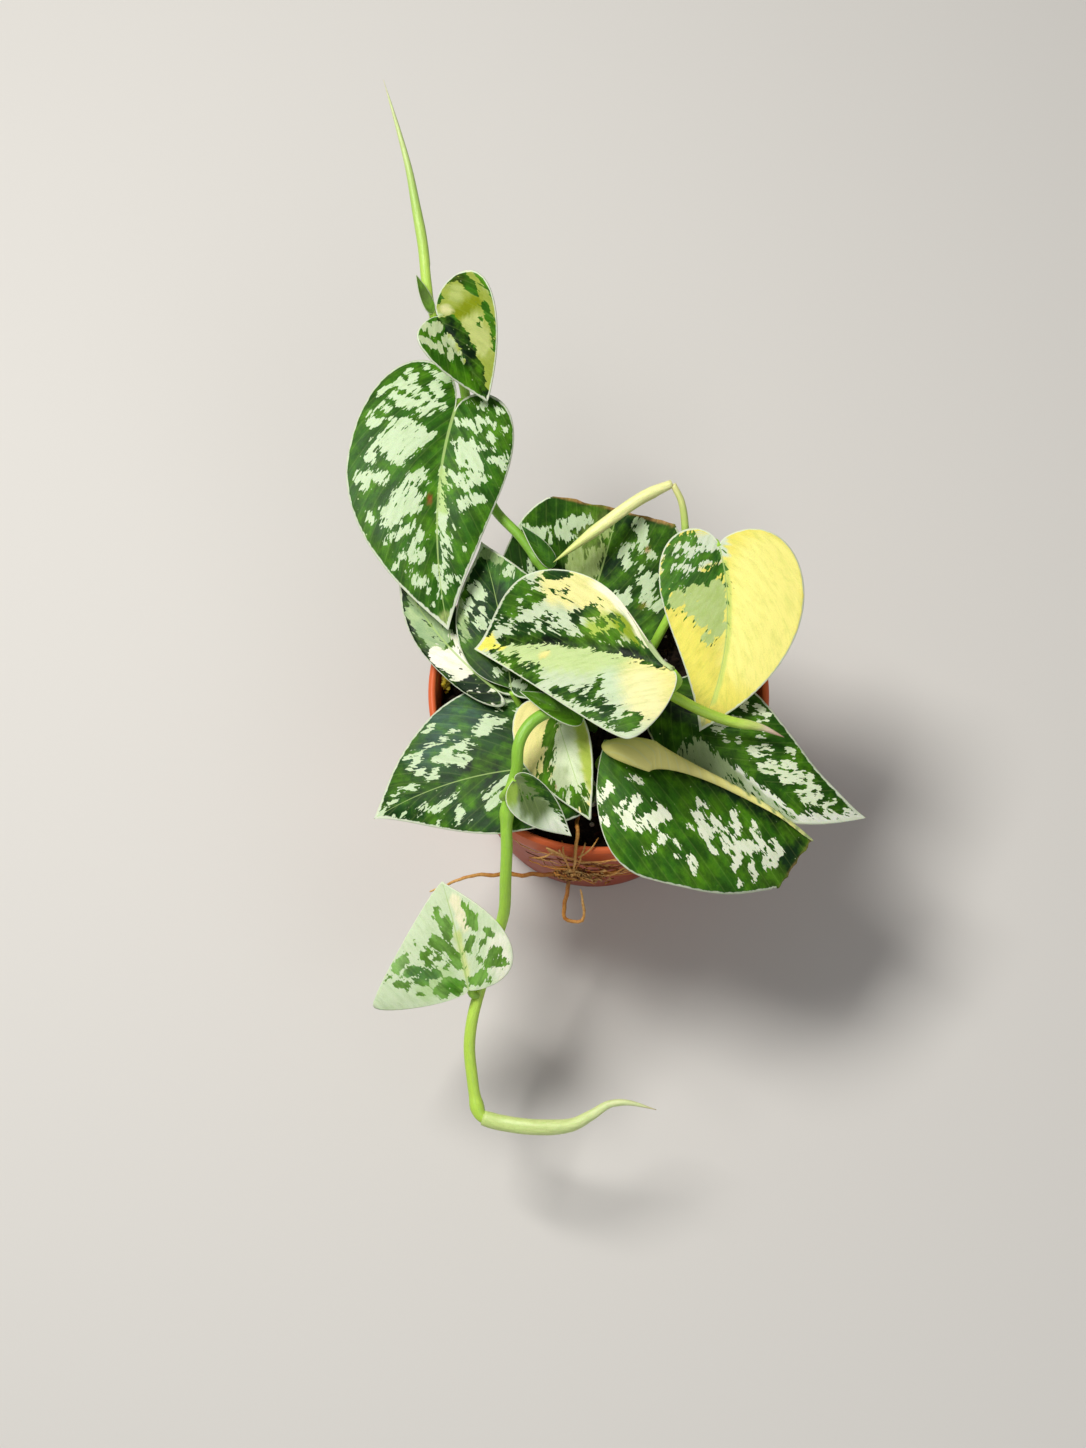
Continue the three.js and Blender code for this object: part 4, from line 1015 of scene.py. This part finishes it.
# The broad dark blade over the front left rim.
grow_leaf("front_left", "leaf_green", dict(
    base=(-11.5, -31, 110.5), length=71, heading=-89, pitch=5, droop=30, sweep=-27,
    left=half_leaf(22, 14, 8, -20, widest=0.32), right=half_leaf(33, 6, 6, -18, widest=0.31),
), dict(
    rib=0.35, margin=0.8, ground=srgb(24, 72, 10),
    splashes=[
        (1.6, 3, 53.5, 4.2, 56), (0.9, 5, 58), (1.1, -6, 55, -5, 51), (1.3, -7, 48, -6, 43), (0.7, -5, 41, -4.3, 38.5),
        (1.3, 4.5, 47.5, 5, 45), (1.5, -13, 41, -11, 39), (0.8, -13, 51, -12, 49), (0.8, -16, 37),
        (1.5, 10, 52, 13.5, 48.5), (0.9, 15, 52.5), (2.0, 9.5, 42.5, 7.5, 36), (1.8, 11, 40, 12, 33),
        (1.3, 6.5, 33.5, 5, 36), (1.2, 11, 30.5), (1.0, 15.5, 40, 18, 35), (0.8, 15, 46, 16, 44),
        (0.9, 21.5, 44, 23, 41.5), (2.6, 16, 27, 19, 23), (2.4, 17.5, 26, 18, 21), (1.8, -11.5, 29, -8, 23),
        (1.6, -8, 29, -4, 21), (1.2, -11, 23.5, -14, 22), (1.2, -5, 24, -2, 19), (0.8, 1, 64, 1.5, 61),
        (0.8, 2.5, 60.5), (0.5, -3, 64), (0.5, -3.5, 60), (1.0, 0.2, 69.5, 0.8, 66), (2, 8, 12, 12, 8),
        (2, -8, 12, -6, 6), (2, 20, 14, 22, 8), (1.5, -14, 8, -16, 4), (1.5, 14, 1), (1.6, 25, 20, 27, 16),
        (0.7, 7.5, 50.5, 8, 48.5),
    ],
    islands=[(0.7, 10.5, 36)],
    # The blue-grey first wash at the upper right is a painted sheen, a reflection of the light.
    ground_washes=[(srgb(62, 100, 78), 4, 7, 15, 44, 24, 33), (DEEP, 2, 4, 2, 26, 2, 32)],
))

# The cream young leaf under the front vine, with one half folded up.
grow_leaf("cream", "leaf_cream", dict(
    base=(-15, -13.6, 116), length=38.6, heading=165, pitch=-3, droop=8, sweep=-5,
    left=half_leaf(11, 3, 46, 0, widest=0.24), right=half_leaf(17, 8, 8, 0, widest=0.21),
), dict(
    starts_pale=True, rib=0.25, margin=0.5, ground=srgb(66, 112, 24), pale=srgb(248, 236, 158),
    under=srgb(226, 226, 160),
    islands=[(1.7, 2.5, 3, 5, 9, 7.5, 15), (1.5, 7.5, 15, 9.5, 21), (0.9, 10.5, 22, 12, 19), (0.9, 4, 32, 5, 27),
             (2.4, 0, 36, 1.5, 31), (1.2, -1.5, 31, -2, 27), (1.5, 8.5, 26, 5, 33), (1.1, 2.5, 28, 3, 26),
             (0.9, 9, 25, 11, 20)],
    pale_washes=[(srgb(226, 236, 200), 5, 2.5, -5, 5, 0, 14, 3, 28), (srgb(196, 208, 168), 2, 2, 6, 26, 5, 20),
                 (srgb(188, 206, 90), 1.5, 3, -9, 4, -6, 26), (srgb(150, 104, 50), 0.2, 0.8, 8, 24)],
    ground_washes=[(srgb(100, 148, 40), 1, 2, 3, 4, 5, 10)],
))

# The smallest leaf, on a short stalk from the front vine.
grow_leaf("small", "leaf_green", dict(
    base=(-29, -43, 135), length=27, heading=133, pitch=-6, droop=15, sweep=1,
    left=half_leaf(6, 1, 40, 0, widest=0.3), right=half_leaf(10, 0, 20, 0, widest=0.3),
), dict(
    starts_pale=True, rib=0.0, margin=0.2, pale=srgb(184, 200, 168), ground=srgb(40, 76, 28),
    islands=[(2.6, -4.5, 3, -4.5, 16), (1.0, -2, 22), (1.2, 1.5, 7)],
    pale_washes=[(srgb(98, 116, 70), 3.5, 5, 0, 3, 2, 11), (srgb(150, 180, 76), 1.5, 2, 7, 4, 4, 2),
                 (srgb(226, 233, 212), 2, 5, 0, 26, 2, 21)],
))

# The large blade at the front right, torn off at its end. Its left half is rolled over, with the yellow back out.
grow_leaf("rolled_edge", "leaf_green", dict(
    base=(2, -24.5, 117.5), length=82, heading=103, pitch=3, droop=36.5, sweep=18, ragged=2.2,
    left=half_leaf(21, 1.5, 35, 205, widest=0.2, full=0.04, nose=0.15, waist=-0.1),
    right=half_leaf(41, 2, 2, -20, widest=0.33, full=0.44, blunt=20, waist=0.93),
), dict(
    rib=0.0, margin=0.9, ground=srgb(52, 108, 14), pale=srgb(248, 255, 226), under=srgb(110, 144, 90),
    under_washes=[(srgb(255, 247, 150), 30, 1, -31, -5, -31, 82)],
    splashes=[
        (2.4, 10.5, 72, 14.5, 72.5), (1.5, 9.5, 68.5), (1.8, 12.5, 70, 16.5, 70.5), (1.8, 10.5, 62, 13.5, 65),
        (1.0, 7.5, 59, 10.5, 60), (2.3, 14.5, 62, 16.5, 57), (1.5, 19.5, 66, 22.5, 70), (1.5, 19.5, 60, 24.5, 60),
        (1.9, 15.5, 56, 20.5, 60), (1.6, 8, 50, 12.5, 55), (1.4, 14.5, 50, 19.5, 54), (1.2, 12.5, 44, 16.5, 50),
        (1.9, 14, 38, 18.5, 46), (1.1, 19.5, 44, 22.5, 50), (1.3, 9.5, 37, 10, 40), (1.5, 18.5, 37),
        (1.2, 28.5, 42, 31.5, 46), (0.8, 26, 36, 25, 34), (0.8, 30, 37), (2.7, 19, 26, 23, 22),
        (1.9, 25.5, 20, 25.5, 15), (1.2, 19.5, 28.5), (1.0, 30.5, 28, 33, 25), (1.5, 25.5, 29, 27.5, 29),
        (2.0, 17, 15, 24, 14), (1.2, 18, 12, 22, 10), (1.8, 14.5, 5, 19.5, 3), (1.4, 26.5, 7, 27.5, 3),
        (1.0, 16.5, 1), (1.0, 9.5, 11, 10.5, 15), (0.9, 27.5, 66), (0.8, 32.5, 47), (1.0, 15, 21, 16, 24),
        (10, -20, 5, -20, 40, -14, 80), (6, -9.5, 0, -9.5, 80), (1.4, -3, -4, -3, 82),
    ],
    # The DEEP wash along the midrib is painted shadow cast by the rolled-over left half.
    ground_washes=[(DEEP, 1.5, 4, 1, 4, 1, 78), (srgb(20, 54, 20), 3, 6, 6, 79, 20, 79),
                   (srgb(150, 128, 74), 0.4, 1.0, 0, 81.6, 20, 81.6)],
    pale_washes=[(srgb(240, 226, 130), 10, 2, -20, 0, -14, 70), (srgb(240, 226, 130), 4, 2, -4, -4, -4, 82),
                 (srgb(150, 128, 74), 0.4, 1.0, 0, 81.6, 20, 81.6)],
))

# The long pointed blade over the right rim, partly under the one with the rolled edge.
grow_leaf("right", "leaf_green", dict(
    base=(24, -3, 108), length=88, heading=150, pitch=8.5, droop=40, sweep=-62,
    left=half_leaf(24.5, 5, 10, -15, widest=0.25), right=half_leaf(15.5, 5, -4, -15),
), dict(
    rib=0.0, margin=0.9, ground=srgb(41, 88, 14), pale=srgb(232, 243, 208),
    splashes=[
        (2.3, -7, 58, -5, 53), (1.8, -8, 62, -3, 63), (2.0, -6.5, 50, -6, 45), (1.7, -7, 39, -7, 36),
        (1.4, -10, 54, -9, 50), (1.3, -4, 47, -4, 43), (1.2, -1, 66, -2, 60), (1.4, -5.5, 66.5, -4, 67),
        (0.9, -14, 49, -13.5, 52), (0.9, -10, 40, -11, 43), (1.5, -8, 23, -5, 21),
        (1.4, -12, 27, -11, 24), (1.2, -16, 19, -14, 16), (1.4, -20.5, 34, -21, 27), (1.2, -17, 24, -19, 22),
        (1.1, -4, 27), (0.8, -1, 62, 0.5, 62), (0.9, -7, 31),
        (2.2, 2, 72, 3, 76, 1, 84), (1.2, -1, 70, -3, 73), (0.7, -15, 37), (0.8, -18, 29, -17.5, 32),
        (0.7, -14, 38, -13, 36), (3.2, 4.5, 22, 5, 30, 5.5, 36), (2.6, 8, 22, 9, 34), (2, 4, 40, 6, 43),
        (1.6, 11, 30, 10.5, 38), (1.5, 3, 19), (1.3, 7, 18, 10, 20), (0.9, 1.2, 36, 2.4, 45, 4, 52, 6, 62),
        (1.8, 2.5, 38, 4.5, 46, 6.5, 55, 8.5, 63, 9.5, 70), (3.0, 7, 64, 5.5, 72, 3, 79), (2.2, 1, 85, 0, 80),
        (4.5, 0, 88),
    ],
    islands=[(0.7, 5, 37.5), (0.6, 8, 29), (0.8, 8.5, 35), (0.7, 10.5, 23)],
    pale_washes=[
        (srgb(158, 176, 128), 6, 3, 6, 20, 5, 40), (srgb(188, 202, 166), 1.8, 1, 3, 42, 5.5, 54, 7.5, 63),
        (WHITE, 0.5, 0.7, 1.0, 34, 2.0, 44, 3.6, 52, 5.6, 62, 7, 70), (WHITE, 2.4, 3, 7, 66, 4, 76, 0, 86),
        (WHITE, 5, 3, 0, 88),
    ],
    ground_washes=[(DEEP, 4, 5, 4, 4, -6, 8)],
))

# The silvery leaf far down the front vine.
grow_leaf("pale", "leaf_sage", dict(
    base=(-45.5, -101, 76), length=39, heading=-12, pitch=20, droop=10, sweep=-5,
    left=half_leaf(34, 3, 0, -10, widest=0.03, full=0.1, nose=0.3), right=half_leaf(18.5, 1, 25, -10),
), dict(
    starts_pale=True, rib=0.5, margin=0.5, crisp=1.7, ground=srgb(124, 174, 78), pale=srgb(212, 228, 190),
    under=srgb(190, 208, 160),
    islands=[
        (1.9, -3, 25, -3, 20), (2.2, -8, 19, -5, 17, -3.5, 14.5), (1.6, -2, 12, -2, 9), (0.9, -1, 24),
        (1.9, -23, 13, -19.5, 16), (1.7, -20, 10.5, -16, 10.5), (1.8, -14, 8.5, -10, 8), (1.3, -17, 6.5, -14, 5.5),
        (2.9, -7, 3, -4, 2), (1.8, -11, 2, -9, 0), (1.8, 7, 25, 6.5, 22), (1.6, 3, 14, 5, 17), (1.9, 9, 8, 12, 11),
        (1.5, 14, 11.5), (1.3, 12, 7, 15, 7), (2.0, 3, 3, 6, 4), (1.2, 8, 2), (1.2, -13, 15, -11, 15.5),
        (1.0, -15, 21), (0.8, -4.5, 30, -4.5, 24), (1.2, 9, 15), (1.1, -9, 11), (1.1, -5, 10), (1.2, -24, 7, -21, 6),
        (1.0, -27, 10), (1.3, -12, 12, -9, 13), (1.0, 11, 19, 12, 17), (1.0, -17, 2), (0.9, 5, 29), (1.1, 6, 10),
    ],
    ground_washes=[(srgb(78, 138, 34), 1.5, 3, -5, 2), (srgb(104, 156, 96), 1, 4, -18, 11, -12, 8),
                   (srgb(146, 190, 108), 2, 4, -22, 14)],
    pale_washes=[(srgb(246, 241, 204), 1.0, 1.6, 2.5, 32, 3.5, 22), (srgb(238, 240, 218), 2, 3, 14, 14, 14, 4),
                 (srgb(214, 226, 150), 0.6, 1.2, 0.5, 5, 0.5, 20), (srgb(190, 216, 158), 2, 4, -8, 6, -14, 3)],
))

# Sheaths: the dry, boat-shaped bracts that wrapped a young leaf and stay at its node. They are made like blades,
# but thin, short and folded, with both halves alike and no variegation.
SHEATH_THICKNESS = 0.35
SHEATH_RIB = 0.6


def bract(half_width, fold):
    """One half of a sheath."""
    return half_leaf(half_width, 0, fold, 10, widest=0.3)


for name, base, length, heading, pitch, droop, width, fold, colour in (
    ("front_sheath", (-6.5, -22, 131.5), 24, -62, 12, 20, 4.5, 30, srgb(80, 130, 26)),
    ("back_sheath", (-58.4, 124.8, 148.8), 15, -30, 35, -15, 2.2, 35, srgb(112, 146, 64)),
    ("middle_sheath", (-15.9, 42.2, 115.2), 19, -42, 30, 10, 3.5, 35, srgb(60, 110, 40)),
):
    grow_leaf(name, "sheath", dict(base=base, length=length, heading=heading, pitch=pitch, droop=droop, sweep=0,
                                   left=bract(width, fold), right=bract(width, fold), wavy=0.3),
              dict(rib=0.0, margin=0.01, ground=colour, under=colour), SHEATH_THICKNESS, SHEATH_RIB, stands_for=name)

# Aerial roots: thin, brown and dry. They grope over the rim and down the front of the pot,
# where a knot of hair-thin fibres hangs.
ROOT_SEED = 11
ROOT_STEP = 1.5
FIBRE_RADIUS = 0.34
KNOT_CENTRE = Vector((-9.6, -63.2, 91.5))
KNOT_RADII = (6.2, 2.4, 4.8)
FIBRE_STEPS = 9
TUFT_SHARE = 0.22


def root_bark():
    """Dry, flaking bark in the root's own tints."""
    finish, tree, shader = new_finish("root_bark", 0.75)
    tint = read(tree, "tint", "Color")
    place = node(tree, "TexCoord").outputs["Object"]
    scales = grain(tree, place, 900, 5, 0.65)
    colour = mixed(tree, ramp(tree, scales, 0.35, 0.7, 0.0, 0.7), tint, srgb(206, 150, 84), "MULTIPLY")
    feed(tree, shader.inputs["Base Color"], colour)
    feed(tree, shader.inputs["Normal"], node(tree, "Bump", Height=scales, Distance=0.0003))
    return finish


ROOT_BARK = root_bark()
AMBER = srgb(206, 146, 62)
RUSSET = srgb(136, 84, 38)
TAN = srgb(232, 192, 122)


def root_girth(radius, tip=0.35):
    """The uneven girth of a root that thins towards its tip."""
    def girth(share, turn):
        rough = 1 + 0.25 * noise.noise(Vector((share * 37, radius * 9, turn)))
        return radius * rough * (1 - (1 - tip) * share**3)
    return girth


noise.seed_set(ROOT_SEED)  # The wobble of a root's route comes from it, and is the same at every run.
for name, radius, points in (
    ("rim_root", 0.75, [(-7, -37, 89), (-7.3, -41, 96), (-7.8, -50, 105.5), (-8.2, -58.5, 107.2),
                        (-8.6, -61.8, 104.5), (-9, -62.4, 94)]),
    ("long_root", 0.8, [(-9, -63.2, 90.5), (-24.1, -62.2, 86), (-38.3, -61.5, 84), (-48.9, -62.4, 81),
                        (-59.5, -66.3, 78.5)]),
    ("hanging_root", 0.75, [(-10.5, -63.5, 90), (-11.2, -68, 85), (-12, -72.8, 80), (-11.8, -75.4, 77.3),
                            (-9, -76.4, 76), (-6, -76, 76.4), (-5.4, -73.5, 79), (-6.6, -67.5, 86)]),
    ("side_root", 0.7, [(-8, -63, 91.5), (0.3, -63.2, 90), (7.3, -62, 91), (15.6, -61, 92)]),
):
    grow_tube(f"{name}_strand", points, root_girth(radius), [(0, RUSSET), (0.5, AMBER), (1, TAN)], ROOT_BARK,
              [name], sides=8, step=ROOT_STEP, wobble=0.7)

for number, points in enumerate((
    [(-18.6, -57.9, 104.3), (-13, -60.4, 103.2), (-7.7, -61.9, 102), (-1, -62.2, 102.6), (5, -61.6, 103.4),
     (10.5, -60.2, 103.8)],
    [(-14, -58.9, 105.3), (-12.4, -61.2, 101.5), (-9.4, -63.6, 95), (-5.5, -65.5, 91), (-1.5, -66.5, 88.5)],
    [(-18, -58.4, 103), (-14.5, -60, 101.6), (-11, -61, 101.4), (-8, -62.2, 100)],
    [(-13, -53, 95.5), (-12.4, -57, 104), (-12.6, -59.4, 105.9), (-12, -61.3, 102.6), (-10.8, -62.8, 95)],
    [(-5, -53.5, 95.5), (-5.6, -57.5, 104.2), (-6.2, -60.2, 105.8), (-7, -61.9, 102.5), (-8.5, -63, 94)],
    [(-7.4, -61.3, 104.6), (-5.2, -60.4, 106), (-2.4, -57.5, 106), (-0.5, -54.5, 104.5)],
    [(-1.2, -63.8, 92), (3.8, -64.4, 93.5), (9, -62.6, 96), (13.5, -60.6, 96), (17.5, -59.6, 94.5)],
    [(-16.2, -59.2, 102.3), (-19, -59.6, 99.5), (-22, -59.5, 97.5), (-24.6, -58.6, 95.5)],
), start=1):
    grow_tube(f"rim_fibre_{number}", points, root_girth(FIBRE_RADIUS, 0.5), [(0, TAN), (1, AMBER)], ROOT_BARK,
              sides=6, step=ROOT_STEP, wobble=0.5)


def fibre_knot(count, strays, seed):
    """Fine fibres curled into a flattened ball against the wall of the pot, and strays that spread from it."""
    dice = random.Random(seed)
    net = bmesh.new()
    tint = net.verts.layers.float_color.new("tint")
    routes = []
    for _ in range(count):
        start = dice.uniform(0, 2 * math.pi)
        turn = dice.uniform(1.2, 4.0) * dice.choice((-1, 1))
        tilt = Vector((dice.gauss(0, 1), dice.gauss(0, 1), dice.gauss(0, 1))).normalized()
        across = tilt.orthogonal().normalized()
        over = tilt.cross(across)
        size = dice.uniform(0.55, 1.0)
        tuft = Vector((0, 0, 0))
        if dice.random() < TUFT_SHARE:
            tuft, size = Vector((dice.gauss(8.5, 1.2), -1.4, dice.gauss(-1, 2.4))), 0.4
        route = []
        for i in range(FIBRE_STEPS + 1):
            angle = start + turn * i / FIBRE_STEPS
            spot = (across * math.cos(angle) + over * math.sin(angle)) * size
            spot += 0.18 * Vector((dice.uniform(-1, 1), dice.uniform(-1, 1), dice.uniform(-1, 1)))
            route.append(KNOT_CENTRE + tuft + Vector([s * r for s, r in zip(spot, KNOT_RADII)]))
        routes.append((route, dice.uniform(0.14, 0.32)))
    for _ in range(strays):
        x, z = dice.gauss(-9, 4.5), dice.uniform(88, 103)
        reach, climb = dice.uniform(5, 22) * dice.choice((-1, 1)), dice.uniform(-9, 5)
        off, bow = dice.uniform(0.6, 4.5), dice.uniform(-6, 3)
        route = []
        for i in range(FIBRE_STEPS + 1):
            t = i / FIBRE_STEPS
            height = z + climb * t + bow * 4 * t * (1 - t) + dice.uniform(-0.9, 0.9)
            across = x + reach * t + dice.uniform(-0.8, 0.8)
            pot_radius = RIM_RADIUS if height > BAND_FOOT - 3 else RIM_RADIUS - 2
            route.append(Vector((across, -math.sqrt(pot_radius**2 - across**2) - off, height)))
        routes.append((route, dice.uniform(0.12, 0.25)))
    for route, radius in routes:
        colour = dice.choice((AMBER, RUSSET, TAN, TAN))
        ring = bmesh.ops.create_circle(net, segments=5, radius=radius)["verts"]
        edges = list({edge for vert in ring for edge in vert.link_edges})
        for i, centre in enumerate(route):
            if i:
                grown = bmesh.ops.extrude_edge_only(net, edges=edges)["geom"]
                ring = [part for part in grown if isinstance(part, bmesh.types.BMVert)]
                edges = [part for part in grown if isinstance(part, bmesh.types.BMEdge)]
            ahead = (route[min(i + 1, FIBRE_STEPS)] - route[max(i - 1, 0)]).normalized()
            side = ahead.orthogonal().normalized()
            up = ahead.cross(side)
            for k, vert in enumerate(ring):
                angle = 2 * math.pi * k / len(ring)
                vert.co = centre + radius * (math.cos(angle) * side + math.sin(angle) * up)
                vert[tint] = colour
    bmesh.ops.holes_fill(net, edges=net.edges[:], sides=5)
    bmesh.ops.recalc_face_normals(net, faces=net.faces[:])
    return net


add_piece("fibre_knot", fibre_knot(count=96, strays=28, seed=ROOT_SEED), [ROOT_BARK], ["root_knot"])

# Floor and light: a plain pale floor, one large soft lamp from the upper left, a weak one opposite it
# and a little light from all round.
floor_net = bmesh.new()
bmesh.ops.create_grid(floor_net, x_segments=1, y_segments=1, size=3)
floor_mesh = bpy.data.meshes.new("floor")
floor_net.to_mesh(floor_mesh)
floor_net.free()
floor_finish, _, floor_shader = new_finish("floor_paint", 0.7)
floor_shader.inputs["Base Color"].default_value = srgb(214, 211, 206)
floor_mesh.materials.append(floor_finish)
floor = bpy.data.objects.new("floor", floor_mesh)
scene.collection.objects.link(floor)


def soft_lamp(name, place, target, size, watts, colour):
    """A square lamp of one size, turned to its target."""
    lamp = bpy.data.lights.new(name, "AREA")
    lamp.size = size
    lamp.energy = watts
    lamp.color = colour
    holder = bpy.data.objects.new(name, lamp)
    holder.location = place
    holder.rotation_euler = (Vector(target) - Vector(place)).to_track_quat("-Z", "Y").to_euler()
    scene.collection.objects.link(holder)


soft_lamp("key_lamp", (-0.5, 0.28, 1.16), (0, 0.02, 0.1), 0.4, 14.6, (1.0, 0.985, 0.95))
soft_lamp("fill_lamp", (0.45, -0.85, 0.95), (0, 0, 0.1), 0.9, 3.4, (0.98, 0.99, 1.0))
scene.world = bpy.data.worlds.new("studio")
scene.world.use_nodes = True
studio = scene.world.node_tree.nodes["Background"]
studio.inputs["Color"].default_value = (0.98, 0.99, 1.0, 1.0)
studio.inputs["Strength"].default_value = 0.17
scene.view_settings.view_transform = "Standard"
